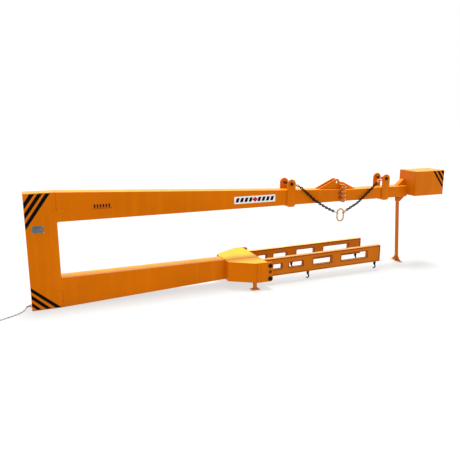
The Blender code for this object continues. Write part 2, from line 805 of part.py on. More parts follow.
# ---------------------------------------------------------------- sling
LEFT_ROUTE = (
    (4.3890, -0.060, 1.6530),
    (4.4420, -0.112, 1.6180),
    (4.5000, -0.150, 1.5720),
    (4.6220, -0.158, 1.4660),
    (4.7480, -0.160, 1.3600),
    (4.9570, -0.162, 1.2320),
    (5.0630, -0.163, 1.1770),
    (5.1560, -0.163, 1.1350),
)
RIGHT_ROUTE = (
    (6.1510, -0.060, 1.6530),
    (6.0900, -0.112, 1.6200),
    (6.0050, -0.150, 1.5700),
    (5.8800, -0.158, 1.4680),
    (5.7550, -0.160, 1.3640),
    (5.6320, -0.161, 1.2660),
    (5.5060, -0.162, 1.2010),
    (5.3940, -0.163, 1.1420),
)


def smooth_route(points, step):
    """Points a step apart along the Catmull-Rom curve through a route's own points."""
    places = [Vector(p) for p in points]
    places = [places[0] * 2 - places[1], *places, places[-1] * 2 - places[-2]]
    dense = []
    for a, b, c, d in zip(places, places[1:], places[2:], places[3:]):
        for k in range(20):
            t = k / 20
            dense.append(
                0.5
                * (2 * b + (c - a) * t + (2 * a - 5 * b + 4 * c - d) * t**2 + (3 * b - a - 3 * c + d) * t**3)
            )
    dense.append(places[-2])
    result, carried = [dense[0]], 0.0
    for a, b in zip(dense, dense[1:]):
        length = (b - a).length
        while length and carried + length >= step:
            share = (step - carried) / length
            a = a.lerp(b, share)
            result.append(a)
            length = (b - a).length
            carried = 0.0
        carried += length
    return result


LINK_R = 0.0150


def link_centres(route):
    """Joint points of the chain a pitch apart, ending on the last whole link."""
    return smooth_route(route, CHAIN_PITCH)


def build_chain(label, route, parent):
    """One welded chain leg. Neighbouring links cross at right angles and bear on each other."""
    joints = link_centres(route)
    sets = {0: [], 1: []}
    bite = 0.0012
    for i, (a, b) in enumerate(zip(joints, joints[1:])):
        along = (b - a).normalized()
        side = Vector((0, 1, 0))
        side = (side - along * side.dot(along)).normalized()
        normal = side if i % 2 else along.cross(side)
        middle = (a + b) / 2
        # Centre-line half length: a link's crown reaches one wire past the joint that it hangs on.
        half = CHAIN_PITCH / 2 - bite / 2 + CHAIN_D / 2 - LINK_R
        ends = (middle - along * half, middle + along * half)
        name = f"{label}_link_{i}"
        link = loop_mesh(name, ends, LINK_R, CHAIN_D, normal, 3, 0, None, None, CUTTERS)
        sets[i % 2].append(link)
    meshes = {}
    bpy.context.view_layer.update()
    graph = bpy.context.evaluated_depsgraph_get()
    for key, links in sets.items():
        bm = bmesh.new()
        for link in links:
            mesh = bpy.data.meshes.new_from_object(link.evaluated_get(graph))
            bm.from_mesh(mesh)
            bpy.data.meshes.remove(mesh)
        bmesh.ops.remove_doubles(bm, verts=bm.verts, dist=1e-6)
        meshes[key] = bm
    for links in sets.values():
        for link in links:
            bpy.data.objects.remove(link, do_unlink=True)
    chain = mesh_object("chain_leg_" + label, meshes[0], STEEL, parent=parent)
    odd = tool(mesh_object(f"chain_{label}_odd_links", meshes[1], None, CUTTERS, parent))
    return boolean(chain, odd, "UNION")


def build_sling():
    for label, x, direction in (("left", CLEVIS_X[0], 1), ("right", CLEVIS_X[1], -1)):
        near = Vector((x + direction * 0.0012, SLING_Y, PIN_Z - 0.001))
        far = Vector((x + direction * 0.055, SLING_Y, SLING_Z))
        loop_mesh(
            "clevis_coupling_" + label, (near, far), 0.030, 0.016, (0, 1, 0), 6, 1, (BROWN_ORANGE, 0.4), datum
        )

    build_chain("left", LEFT_ROUTE, datum)
    build_chain("right", RIGHT_ROUTE, datum)

    crown = 0.0665
    straight = 0.0415
    centre_z = MASTER_EYE_Z + 0.003 - straight
    loop_mesh(
        "master_link",
        ((MASTER_X, MASTER_Y, centre_z - straight), (MASTER_X, MASTER_Y, centre_z + straight)),
        crown,
        MASTER_D,
        (0, 1, 0),
        8,
        2,
        (BRASS, 0.35, 0.7),
        datum,
    )
    for label, route, direction in (("left", LEFT_ROUTE, -1), ("right", RIGHT_ROUTE, 1)):
        joints = link_centres(route)
        last = joints[-1]
        away = (joints[-2] - last).normalized()
        wire = Vector((MASTER_X + direction * crown, MASTER_Y, MASTER_EYE_Z))
        towards = (last - wire).normalized()
        radius = 0.0235
        inside = last + away * (0.010)
        far = inside - towards * radius
        near = wire + towards * 0.001
        normal = towards.cross(Vector((0, 1, 0)))
        loop_mesh(
            "master_coupling_" + label, (near, far), radius, 0.009, normal, 5, 1, (BROWN_ORANGE, 0.4), datum
        )


# ---------------------------------------------------------------- small fittings and the tag line
def build_fittings():
    plate = box(
        "nameplate", (0.082, 0.250), (-HALF - GAP - 0.003, -HALF - GAP), (1.168, 1.274), (ZINC, 0.5, 0.6)
    )
    bevel(plate, 0.001)

    name = "rope_eye"
    base = box(name, (-0.0063, -GAP), (-0.022, 0.022), (0.022, 0.068), RAIL_PAINT)
    bevel(base, 0.001)
    ring = loop_mesh(
        name + "_loop",
        ((-0.008, 0, 0.045), (-0.020, 0, 0.045)),
        0.0145,
        0.009,
        (0, 1, 0),
        5,
        1,
        None,
        datum,
        CUTTERS,
    )
    bpy.context.view_layer.update()
    mesh = bpy.data.meshes.new_from_object(ring.evaluated_get(bpy.context.evaluated_depsgraph_get()))
    bpy.data.objects.remove(ring, do_unlink=True)
    bm = bmesh.new()
    bm.from_mesh(mesh)
    bpy.data.meshes.remove(mesh)
    bmesh.ops.remove_doubles(bm, verts=bm.verts, dist=1e-6)
    loop = tool(mesh_object(name + "_bar", bm, None, CUTTERS))
    boolean(base, loop, "UNION")
    wall = box(name + "_wall", (-GAP, 0.1), (-0.1, 0.1), (-0.1, 0.2), collection=CUTTERS)
    boolean(base, tool(wall))


ROPE_ROUTE = (
    (-0.0487, 0.0000, 0.0440),
    (-0.0680, -0.0080, 0.0360),
    (-0.0880, -0.0260, 0.0200),
    (-0.1050, -0.0560, 0.0105),
    (-0.1300, -0.1050, ROPE_R),
    (-0.1850, -0.1720, ROPE_R),
    (-0.2400, -0.2110, ROPE_R),
    (-0.2940, -0.2470, ROPE_R),
    (-0.3400, -0.2760, ROPE_R),
    (-0.3920, -0.3060, ROPE_R),
    (-0.4370, -0.3270, ROPE_R),
    (-0.5000, -0.3520, ROPE_R),
)


def build_tag_line():
    """The rope from the column's eye along the ground, and the coil of what is left of it."""
    centre = Vector((*COIL_CENTRE, ROPE_R))
    last = Vector(ROPE_ROUTE[-1])
    inwards = (centre - last).normalized()
    touch = centre - inwards * (COIL_R[1] + 0.0006)
    route = smooth_route((*ROPE_ROUTE, tuple(touch)), 0.030)
    if (route[-1] - touch).length > 0.004:
        route.append(touch)
    else:
        route[-1] = touch
    curve = bpy.data.curves.new("tag_line", "CURVE")
    curve.dimensions = "3D"
    curve.bevel_depth = ROPE_R
    curve.bevel_resolution = 2
    curve.use_fill_caps = True
    spline = curve.splines.new("POLY")
    spline.points.add(len(route) - 1)
    for point, place in zip(spline.points, route):
        point.co = (*place, 1)
    finish(bpy.data.objects.new("tag_line", curve), ((0.35, 0.35, 0.33), 0.9))

    inner, outer = COIL_R
    h = COIL_HEIGHT
    edge = 0.008
    profile = (
        (inner, edge),
        (inner, h - edge),
        (inner + edge, h),
        (outer - edge, h),
        (outer, h - edge),
        (outer, edge),
        (outer - edge, 0),
        (inner + edge, 0),
        (inner, edge),
    )
    lathe("tag_line_coil", profile, "Z", (*COIL_CENTRE, 0), ((0.35, 0.35, 0.33), 0.9), 28)


# ---------------------------------------------------------------- assembly
build_frame()
build_splice()
for clevis_label, clevis_x in zip(("left", "right"), CLEVIS_X):
    build_clevis(clevis_label, clevis_x)
build_counterweight()
build_prop_leg()
build_yoke()
for rail_side, rail_y in mirrored(RAIL_Y):
    build_rail(rail_side, rail_y)
    build_stub_foot(rail_side, STUB_Y if rail_y > 0 else -STUB_Y)
    for end_label, hook_x in zip(("inner", "outer"), HOOK_X):
        build_hook(f"{rail_side}_{end_label}", hook_x, rail_y)
build_sling()
build_fittings()
build_tag_line()
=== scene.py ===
"""Looks of the spreader beam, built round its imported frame.

Metres, +Z up, +X from the column towards the counterweight. Lengths along the boom are written from
the column's outer face, as in the CAD source, and at() turns them into frame coordinates. The near
side is -Y.
"""

import math

import bmesh
import bpy
from mathutils import Matrix, Vector


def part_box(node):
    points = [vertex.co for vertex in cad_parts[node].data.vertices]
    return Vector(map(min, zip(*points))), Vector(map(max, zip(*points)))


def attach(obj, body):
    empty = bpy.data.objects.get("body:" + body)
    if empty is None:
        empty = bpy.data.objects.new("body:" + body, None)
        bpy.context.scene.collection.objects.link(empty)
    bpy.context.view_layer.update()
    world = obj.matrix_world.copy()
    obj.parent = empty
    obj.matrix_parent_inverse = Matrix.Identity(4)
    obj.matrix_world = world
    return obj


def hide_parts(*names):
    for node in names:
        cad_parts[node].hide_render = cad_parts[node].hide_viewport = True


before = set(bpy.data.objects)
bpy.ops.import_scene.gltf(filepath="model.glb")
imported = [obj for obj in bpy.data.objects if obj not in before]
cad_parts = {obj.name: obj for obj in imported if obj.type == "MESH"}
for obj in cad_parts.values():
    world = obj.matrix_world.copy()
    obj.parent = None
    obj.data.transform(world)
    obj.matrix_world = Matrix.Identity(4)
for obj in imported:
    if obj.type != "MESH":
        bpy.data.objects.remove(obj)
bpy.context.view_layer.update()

SCENE = bpy.context.scene
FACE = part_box("column")[0].x
HALF = 0.1225
SKIN = 0.0004


def at(x, y, z):
    return Vector((x + FACE, y, z))


# ---- camera, light and floor
camera_data = bpy.data.cameras.new("camera")
camera_data.lens = 519.4 / 460 * 36
camera_data.sensor_width = 36
camera = bpy.data.objects.new("camera", camera_data)
camera.location = (-0.2445, -7.905, 2.8665)
camera.rotation_euler = (math.pi / 2 - 0.2227, 0, -0.3873)
SCENE.collection.objects.link(camera)
SCENE.camera = camera
SCENE.view_settings.view_transform = "Standard"

world = bpy.data.worlds.new("studio")
world.use_nodes = True
background = world.node_tree.nodes["Background"].inputs
background["Color"].default_value = (1.0, 1.0, 1.0, 1)
background["Strength"].default_value = 1.0
SCENE.world = world

sun_data = bpy.data.lights.new("overhead", "SUN")
sun_data.energy = 6.0
sun_data.angle = math.radians(18)
sun_data.color = (1.0, 0.98, 0.94)
sun = bpy.data.objects.new("overhead", sun_data)
sun.rotation_euler = (math.radians(-9), math.radians(6), 0)
SCENE.collection.objects.link(sun)


# ---- materials
class Look:
    """A procedural material: a Principled shader and the nodes that feed it."""

    def __init__(self, name, **constants):
        self.material = bpy.data.materials.new(name)
        self.material.use_nodes = True
        self.tree = self.material.node_tree
        self.shader = self.tree.nodes["Principled BSDF"]
        for socket, value in constants.items():
            self.shader.inputs[socket.replace("_", " ")].default_value = value
        self.place = self.node("ShaderNodeTexCoord").outputs["Object"]
        self.normal = self.node("ShaderNodeNewGeometry").outputs["Normal"]

    def node(self, kind, inputs=(), **settings):
        made = self.tree.nodes.new(kind)
        for key, value in settings.items():
            setattr(made, key, value)
        for key, value in dict(inputs).items():
            self.feed(made.inputs[key], value)
        return made

    def feed(self, socket, value):
        if isinstance(value, bpy.types.NodeSocket):
            self.tree.links.new(value, socket)
        else:
            socket.default_value = value

    def set(self, **sockets):
        for key, value in sockets.items():
            self.feed(self.shader.inputs[key.replace("_", " ")], value)
        return self.material

    def noise(self, scale, detail=3.0, stretch=None, place=None):
        place = place or self.place
        if stretch:
            place = self.node("ShaderNodeVectorMath", {0: place, 1: stretch}, operation="MULTIPLY").outputs[0]
        sockets = {"Vector": place, "Scale": scale, "Detail": detail}
        return self.node("ShaderNodeTexNoise", sockets).outputs["Fac"]

    def span(self, value, low, high, to=(0.0, 1.0)):
        """value's low..high stretched to a new range, and clamped."""
        sockets = {"Value": value, "From Min": low, "From Max": high, "To Min": to[0], "To Max": to[1]}
        return self.node("ShaderNodeMapRange", sockets).outputs[0]

    def maths(self, operation, a, b=0.0):
        return self.node("ShaderNodeMath", {0: a, 1: b}, operation=operation).outputs[0]

    def mix(self, factor, a, b):
        made = self.node("ShaderNodeMix", data_type="RGBA")
        for index, value in ((0, factor), (6, a), (7, b)):
            self.feed(made.inputs[index], (*value, 1.0) if isinstance(value, tuple) else value)
        return made.outputs[2]

    def edges(self, radius):
        """1 near an edge and 0 on flat faces."""
        soft = self.node("ShaderNodeBevel", {"Radius": radius}, samples=4).outputs[0]
        dot = self.node("ShaderNodeVectorMath", {0: soft, 1: self.normal}, operation="DOT_PRODUCT")
        return self.span(dot.outputs["Value"], 0.985, 0.8)

    def facing_up(self):
        up = self.node("ShaderNodeVectorMath", {0: self.normal, 1: (0, 0, 1)}, operation="DOT_PRODUCT")
        return self.span(up.outputs["Value"], 0.55, 0.95)

    def height(self):
        return self.node("ShaderNodeSeparateXYZ", {0: self.place}).outputs["Z"]

    def bump(self, height, distance, strength=1.0, over=None):
        sockets = {"Height": height, "Distance": distance, "Strength": strength}
        if over:
            sockets["Normal"] = over
        return self.node("ShaderNodeBump", sockets).outputs[0]


ORANGE = (0.625, 0.142, 0.0008)
AMBER = (0.72, 0.195, 0.002)
BROWN = (0.56, 0.14, 0.005)
RUSSET = (0.5, 0.112, 0.006)
PALE_AMBER = (0.8, 0.4, 0.016)
PRIMER = (0.1, 0.075, 0.06)
MUD = (0.2, 0.12, 0.06)
RUST = (0.1, 0.04, 0.015)


def shade(colour, share):
    return tuple(c * share for c in colour)


def paint(name, colour, warm, roughness=(0.2, 0.34), wear=0.6, dust_and_highlight_share=(0.16, 0.44), dust_and_highlight_colour=PALE_AMBER):
    """Sprayed gloss paint: tone drift, faint runs, dust and a painted highlight on top, chips and a painted
    highlight at edges, and an orange-peel skin.

    wear is the noise level above which edges chip. The argument after it is the least and most share of
    the pale top tone on flat tops, which is partly dust and partly a painted highlight.
    """
    look = Look(name, Specular_IOR_Level=0.22, Specular_Tint=(1.0, 0.42, 0.08, 1.0))
    broad = look.noise(1.1, 3)
    fine = look.noise(9.0, 5)
    runs = look.noise(1.0, 4, (7.0, 7.0, 0.6))
    tone = look.mix(look.span(broad, 0.36, 0.66), shade(colour, 0.88), colour)
    tone = look.mix(look.span(runs, 0.5, 0.74, (0, 0.35)), tone, warm)
    tone = look.mix(look.span(fine, 0.55, 0.75, (0, 0.16)), tone, shade(colour, 0.72))
    # Flat tops take a pale tone, partly dust and partly a painted highlight from the overhead light.
    dust_and_highlight_mask = look.maths("MULTIPLY", look.facing_up(), look.span(look.noise(5.0, 5), 0.3, 0.75, dust_and_highlight_share))
    tone = look.mix(dust_and_highlight_mask, tone, dust_and_highlight_colour)
    low = look.span(look.height(), 0.1, 0.0)
    ground = look.maths("MULTIPLY", low, look.span(look.noise(14, 4), 0.35, 0.7))
    tone = look.mix(look.maths("MULTIPLY", ground, 0.22), tone, MUD)
    edge = look.edges(0.005)
    chips = look.maths("MULTIPLY", edge, look.span(look.noise(38, 4), wear, wear + 0.05))
    # Edges are lightened with a painted highlight; the chips over it show primer.
    tone = look.mix(look.maths("MULTIPLY", edge, 0.3), tone, shade(warm, 1.25))
    tone = look.mix(chips, tone, PRIMER)
    rough = look.span(look.noise(6.0, 4), 0.3, 0.75, roughness)
    rough = look.maths("ADD", rough, look.maths("MULTIPLY", chips, 0.3))
    rough = look.maths("ADD", rough, look.maths("MULTIPLY", dust_and_highlight_mask, 0.35))
    waves = look.bump(look.noise(3.2, 2), 0.006, 0.35)
    skin = look.bump(look.noise(420, 2), 0.0005, 0.3, waves)
    return look.set(Base_Color=tone, Roughness=rough, Normal=skin)


def dark_metal(name, colour, shine, roughness, metallic=0.75, wear=0.5, gloss=0.25):
    """Blackened or bare forged steel, with rubbed bright spots and a cast grain."""
    look = Look(name, Metallic=metallic, Specular_IOR_Level=gloss)
    grain = look.noise(60, 5)
    tone = look.mix(look.span(grain, 0.35, 0.7), shade(colour, 0.7), colour)
    rub = look.maths("MULTIPLY", look.span(look.noise(95, 4), wear, wear + 0.12), look.edges(0.003))
    tone = look.mix(rub, tone, shine)
    rust = look.span(look.noise(24, 5), 0.62, 0.72, (0, 0.45))
    tone = look.mix(rust, tone, RUST)
    rough = look.span(grain, 0.3, 0.7, roughness)
    return look.set(Base_Color=tone, Roughness=rough, Normal=look.bump(look.noise(170, 4), 0.0006, 0.55))


def bright_metal(name, light, dark, roughness):
    """Plated steel with a crystalline spangle and fine scratches."""
    look = Look(name, Metallic=0.85)
    cells = look.node("ShaderNodeTexVoronoi", {"Vector": look.place, "Scale": 260.0}).outputs["Distance"]
    tone = look.mix(look.span(cells, 0.1, 0.7), light, dark)
    tone = look.mix(look.span(look.noise(30, 5), 0.52, 0.72, (0, 0.5)), tone, shade(dark, 0.55))
    scratch = look.noise(140, 2, (1.0, 8.0, 1.0))
    rough = look.span(look.noise(48, 4), 0.3, 0.7, roughness)
    return look.set(Base_Color=tone, Roughness=rough, Normal=look.bump(scratch, 0.0003, 0.35))


def vinyl(name, colour, faded, roughness=(0.28, 0.46)):
    """Self-adhesive film: slight fading, scuffs and air bubbles."""
    look = Look(name, Specular_IOR_Level=0.04)
    tone = look.mix(look.span(look.noise(7, 4), 0.35, 0.75, (0, 0.7)), colour, faded)
    scuff = look.span(look.noise(30, 5, (1.0, 1.0, 6.0)), 0.66, 0.72, (0, 0.5))
    tone = look.mix(scuff, tone, shade(faded, 1.7))
    rough = look.span(look.noise(12, 3), 0.3, 0.7, roughness)
    return look.set(Base_Color=tone, Roughness=rough, Normal=look.bump(look.noise(60, 2), 0.0004, 0.3))


def rope_fibre(name, colour, dark):
    """Twisted filament yarn. The mesh's UVs run round and along each strand, in metres along."""
    look = Look(name, Specular_IOR_Level=0.25, Sheen_Weight=0.25, Sheen_Roughness=0.5)
    uv = look.node("ShaderNodeUVMap", uv_map="strand").outputs[0]
    split = look.node("ShaderNodeSeparateXYZ", {0: uv})
    turn = look.maths("ADD", split.outputs["X"], look.maths("MULTIPLY", split.outputs["Y"], 42.0))
    yarn = look.maths("SINE", look.maths("MULTIPLY", turn, math.tau * 5))
    fuzz = look.noise(900, 3)
    tone = look.mix(look.span(yarn, -1, 1, (0.0, 0.55)), colour, dark)
    tone = look.mix(look.span(look.noise(35, 4), 0.5, 0.72, (0, 0.55)), tone, shade(dark, 0.5))
    relief = look.bump(look.maths("ADD", yarn, fuzz), 0.0005, 0.6)
    rough = look.span(fuzz, 0.2, 0.8, (0.78, 0.96))
    return look.set(Base_Color=tone, Roughness=rough, Normal=relief)


BOOM_PAINT = paint("boom_gloss_paint", ORANGE, AMBER)
# The rails' cream tops and the yoke's yellow top are mostly a painted highlight, partly dust.
RAIL_PAINT = paint("rail_satin_paint", BROWN, RUSSET, (0.26, 0.44), 0.57, (0.35, 0.65), (0.88, 0.62, 0.3))
YOKE_PAINT = paint("yoke_gloss_paint", ORANGE, AMBER, (0.2, 0.34), 0.6, (0.45, 0.75), (0.72, 0.415, 0.02))
WELD_PAINT = paint("weld_paint", shade(ORANGE, 0.9), AMBER, (0.22, 0.36), 0.62)
# A paint lighter than the boom's: a painted highlight along the doubler welds.
PAD_WELD_HIGHLIGHT_PAINT = paint("pad_weld_painted_highlight", (0.78, 0.2, 0.004), AMBER, (0.18, 0.3), 0.66)
# A dark weld paint for painted shade: at the splice ribs' roots and along the rails' strips and windows.
SHADE_WELD_PAINT = paint("weld_painted_shade", (0.24, 0.03, 0.002), (0.36, 0.06, 0.003), (0.3, 0.46), 0.55)
COUPLING_PAINT = paint("coupling_paint", (0.6, 0.15, 0.05), (0.78, 0.42, 0.22), (0.18, 0.32), 0.55)
CHAIN_STEEL = dark_metal(
    "chain_black_oxide", (0.005, 0.0045, 0.0045), (0.05, 0.045, 0.04), (0.45, 0.7), 0.0, 0.58, 0.05
)
FORGED_STEEL = dark_metal(
    "forged_dark_steel", (0.01, 0.01, 0.011), (0.12, 0.11, 0.1), (0.4, 0.65), 0.15, 0.5, 0.12
)
CAST_IRON = dark_metal("cast_iron", (0.04, 0.039, 0.038), (0.16, 0.15, 0.14), (0.55, 0.8), 0.3)
ZINC = bright_metal("zinc_plating", (0.88, 0.88, 0.86), (0.64, 0.65, 0.65), (0.24, 0.42))
MASTER_PLATING = bright_metal("master_link_plating", (0.72, 0.43, 0.17), (0.5, 0.27, 0.09), (0.26, 0.44))
PLATE_METAL = bright_metal("nameplate_metal", (0.19, 0.205, 0.2), (0.13, 0.145, 0.14), (0.36, 0.52))
BLACK_VINYL = vinyl("black_vinyl", (0.0015, 0.0015, 0.0018), (0.004, 0.004, 0.0045))
WHITE_VINYL = vinyl("white_vinyl", (0.8, 0.79, 0.83), (0.7, 0.69, 0.72))
RED_VINYL = vinyl("red_vinyl", (0.5, 0.012, 0.02), (0.42, 0.02, 0.02))
MARK_INK = vinyl("stencil_ink", (0.075, 0.005, 0.005), (0.12, 0.01, 0.006), (0.5, 0.7))
ROPE_LIGHT = rope_fibre("rope_light_strand", (0.5, 0.51, 0.5), (0.26, 0.27, 0.28))
ROPE_DARK = rope_fibre("rope_dark_strand", (0.085, 0.1, 0.12), (0.035, 0.04, 0.05))


# ---- mesh helpers
def piece(name, bm, look, body, replaces=(), sharp=32, bevel=0.0):
    """Makes bm a piece that rides on a body. Faces are smooth across angles under sharp degrees."""
    mesh = bpy.data.meshes.new(name)
    bmesh.ops.recalc_face_normals(bm, faces=bm.faces)
    bm.to_mesh(mesh)
    bm.free()
    obj = bpy.data.objects.new(name, mesh)
    SCENE.collection.objects.link(obj)
    for one in look if isinstance(look, (list, tuple)) else [look]:
        mesh.materials.append(one)
    if bevel:
        rounding = obj.modifiers.new("rounding", "BEVEL")
        rounding.width = bevel
        rounding.segments = 2
        rounding.limit_method = "ANGLE"
        rounding.angle_limit = math.radians(40)
    mesh.shade_smooth()
    mesh.set_sharp_from_angle(angle=math.radians(sharp))
    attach(obj, body)
    if replaces:
        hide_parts(*replaces)
    return obj


def sweep(bm, points, radius, sides=10, closed=False, material=0, squeeze=1.0, up=(0, 0, 1)):
    """A tube through points, with one radius or one for each point.

    Its UVs run round it, 0 to 1, and along it in metres.
    """
    layer = bm.loops.layers.uv.get("strand") or bm.loops.layers.uv.new("strand")
    count = len(points)
    radii = [radius] * count if isinstance(radius, (int, float)) else radius
    rings, across, run, before = [], None, 0.0, None
    travelled = []
    for i, point in enumerate(points):
        if closed:
            along = points[(i + 1) % count] - points[i - 1]
        else:
            along = points[min(i + 1, count - 1)] - points[max(i - 1, 0)]
        along = along.normalized()
        if across is None:
            guess = Vector(up)
            across = guess - along * guess.dot(along)
            if across.length < 1e-3:
                across = along.orthogonal()
        across = (across - along * across.dot(along)).normalized()
        other = along.cross(across)
        if before is not None:
            run += (point - before).length
        before = point
        travelled.append(run)
        ring = []
        for k in range(sides):
            a = math.tau * k / sides
            offset = across * math.cos(a) * squeeze + other * math.sin(a)
            ring.append(bm.verts.new(point + offset * radii[i]))
        rings.append(ring)
    pairs = list(zip(range(count), range(1, count)))
    if closed:
        pairs.append((count - 1, 0))
    for i, j in pairs:
        for k in range(sides):
            m = (k + 1) % sides
            face = bm.faces.new((rings[i][k], rings[i][m], rings[j][m], rings[j][k]))
            face.material_index = material
            end = travelled[j] if j else run
            places = ((k, travelled[i]), (k + 1, travelled[i]), (k + 1, end), (k, end))
            for loop, (u, v) in zip(face.loops, places):
                loop[layer].uv = (u / sides, v)
    if not closed:
        for ring, turned in ((rings[0], True), (rings[-1], False)):
            cap = bm.faces.new(reversed(ring) if turned else ring)
            cap.material_index = material
    return bm


AXES = {
    "X": Matrix.Rotation(math.pi / 2, 4, "Y"),
    "-X": Matrix.Rotation(-math.pi / 2, 4, "Y"),
    "Y": Matrix.Rotation(-math.pi / 2, 4, "X"),
    "-Y": Matrix.Rotation(math.pi / 2, 4, "X"),
}


def turned(bm, profile, axis, centre, steps=32, material=0, spin=0.0):
    """A solid of revolution: (radius, height) pairs from bottom to top, along an axis from a centre."""
    place = Matrix.Translation(centre) @ AXES[axis] @ Matrix.Rotation(spin, 4, "Z")
    rings = []
    for r, h in profile:
        if r <= 0:
            rings.append([bm.verts.new(place @ Vector((0, 0, h)))])
            continue
        ring = []
        for k in range(steps):
            a = math.tau * k / steps
            ring.append(bm.verts.new(place @ Vector((r * math.cos(a), r * math.sin(a), h))))
        rings.append(ring)
    for low, high in zip(rings, rings[1:]):
        for k in range(steps):
            m = (k + 1) % steps
            corners = [low[k % len(low)], low[m % len(low)], high[m % len(high)], high[k % len(high)]]
            unique = list(dict.fromkeys(corners))
            if len(unique) > 2:
                bm.faces.new(unique).material_index = material
    for ring, first in ((rings[0], True), (rings[-1], False)):
        if len(ring) > 1:
            bm.faces.new(reversed(ring) if first else ring).material_index = material
    return bm


def nut(bm, axis, centre, radius, height, spin=0.0):
    """A hexagon with chamfered corners, from a centre along an axis."""
    cut = radius * 0.9
    profile = [(cut, 0), (radius, height * 0.1), (radius, height * 0.88), (cut, height)]
    return turned(bm, profile, axis, centre, 6, 0, spin)


def washer(bm, axis, centre, inner, outer, height):
    edge = height * 0.25
    profile = [(inner, 0), (outer - edge, 0), (outer, edge)]
    profile += [(outer, height - edge), (outer - edge, height), (inner, height)]
    return turned(bm, profile, axis, centre, 28)


def slab(bm, outline, plane, start, end, material=0):
    """A plate: a flat outline in XZ or XY, from one level to another on the third axis."""
    def place(a, b, level):
        return (a, level, b) if plane == "XZ" else (a, b, level)

    rings = [[bm.verts.new(place(a, b, level)) for a, b in outline] for level in (start, end)]
    count = len(outline)
    bm.faces.new(rings[0]).material_index = material
    bm.faces.new(reversed(rings[1])).material_index = material
    for k in range(count):
        m = (k + 1) % count
        bm.faces.new((rings[0][k], rings[0][m], rings[1][m], rings[1][k])).material_index = material
    return bm


def block(bm, x, y, z):
    return slab(bm, [(x[0], y[0]), (x[1], y[0]), (x[1], y[1]), (x[0], y[1])], "XY", *z)


def shift(outline):
    return [(x + FACE, z) for x, z in outline]


def arc(centre, radius, start, end, steps):
    """Points of an arc in the plane, in degrees."""
    angles = [math.radians(start + (end - start) * k / steps) for k in range(steps + 1)]
    return [(centre[0] + radius * math.cos(a), centre[1] + radius * math.sin(a)) for a in angles]


def curve_points(points, step):
    """Points a step apart along the Catmull-Rom curve through a route's own points."""
    places = [Vector(p) for p in points]
    places = [places[0] * 2 - places[1], *places, places[-1] * 2 - places[-2]]
    dense = []
    for a, b, c, d in zip(places, places[1:], places[2:], places[3:]):
        for k in range(20):
            t = k / 20
            bend = (2 * a - 5 * b + 4 * c - d) * t**2 + (3 * b - a - 3 * c + d) * t**3
            dense.append(0.5 * (2 * b + (c - a) * t + bend))
    dense.append(places[-2])
    result, carried = [dense[0]], 0.0
    for a, b in zip(dense, dense[1:]):
        length = (b - a).length
        while length and carried + length >= step:
            a = a.lerp(b, (step - carried) / length)
            result.append(a)
            length = (b - a).length
            carried = 0.0
        carried += length
    return result


def oval(a, b, radius, normal, turns=14):
    """Centre-line points of a closed link: two half circles about a and b, across a normal."""
    along = (b - a).normalized()
    across = Vector(normal).cross(along).normalized()
    points = []
    for centre, sign in ((b, 1), (a, -1)):
        for k in range(turns + 1):
            angle = math.pi * k / turns
            points.append(centre + (across * math.cos(angle) + along * math.sin(angle)) * radius * sign)
    return points


# ---- tag line
ROPE_R = 0.009
ROPE_LOOKS = [ROPE_LIGHT, ROPE_DARK]
COIL_CENTRE = at(-0.69, -0.455, 0)
COIL_INNER, COIL_OUTER = 0.082, 0.118
ROPE_ROUTE = (
    (-0.0487, 0.0, 0.044), (-0.068, -0.008, 0.036),
    (-0.088, -0.026, 0.02), (-0.105, -0.056, 0.0105),
    (-0.13, -0.105, ROPE_R), (-0.185, -0.172, ROPE_R),
    (-0.24, -0.211, ROPE_R), (-0.294, -0.247, ROPE_R),
    (-0.34, -0.276, ROPE_R), (-0.392, -0.306, ROPE_R),
    (-0.437, -0.327, ROPE_R), (-0.487, -0.34, ROPE_R),
)


def ease(s):
    return s * s * (3 - 2 * s)


def coil_point(turn, radius, z):
    angle = math.pi / 2 + math.tau * turn
    return COIL_CENTRE + Vector((radius * math.cos(angle), radius * math.sin(angle), z))


def rope_path():
    """The line on the ground, two turns inwards, a climb, two turns outwards, and the end on top."""
    route = [at(*p) for p in ROPE_ROUTE]
    for k in range(37):
        turn = k / 18
        route.append(coil_point(turn + 0.02, COIL_OUTER - 2 * ROPE_R * turn, ROPE_R))
    for k in range(1, 7):
        s = k / 7
        route.append(coil_point(2.02 + 0.38 * s, COIL_INNER, ROPE_R + 2 * ROPE_R * ease(s)))
    for k in range(37):
        turn = k / 18
        route.append(coil_point(turn + 2.4, COIL_INNER + 2 * ROPE_R * turn, 3 * ROPE_R))
    for k in range(1, 9):
        s = k / 8
        route.append(coil_point(4.4 + 0.18 * s, COIL_OUTER - 0.028 * ease(s), (3 + 2 * ease(s)) * ROPE_R))
    return curve_points(route, 0.0055)


def distances(points):
    """Each point's distance along the line."""
    out = [0.0]
    for a, b in zip(points, points[1:]):
        out.append(out[-1] + (b - a).length)
    return out


def laid_rope(centre_line, radius=ROPE_R, lay=0.057, sides=7):
    """A three-strand rope. The third strand is the dark tracer."""
    bm = bmesh.new()
    last = len(centre_line) - 1
    frames, across = [], Vector((0, 0, 1))
    for i, point in enumerate(centre_line):
        along = (centre_line[min(i + 1, last)] - centre_line[max(i - 1, 0)]).normalized()
        across = (across - along * across.dot(along)).normalized()
        frames.append((point, across.copy(), along.cross(across)))
    for strand in range(3):
        line = []
        for (point, side, other), length in zip(frames, distances(centre_line)):
            angle = math.tau * (strand / 3 + length / lay)
            line.append(point + (side * math.cos(angle) + other * math.sin(angle)) * radius * 0.52)
        sweep(bm, line, radius * 0.48, sides, material=1 if strand == 2 else 0)
    return bm


def rope_eye_splice():
    """The rope's eye round the column's ring."""
    ring_bar = at(-0.0345, 0, 0.045)
    line = []
    for k in range(25):
        a = math.pi + math.radians(150) * (1 - k / 12)
        line.append(ring_bar + Vector((math.cos(a), math.sin(a), 0)) * 0.014)
    return piece("tag_line_eye", laid_rope(line), ROPE_LOOKS, "frame", (), 60)


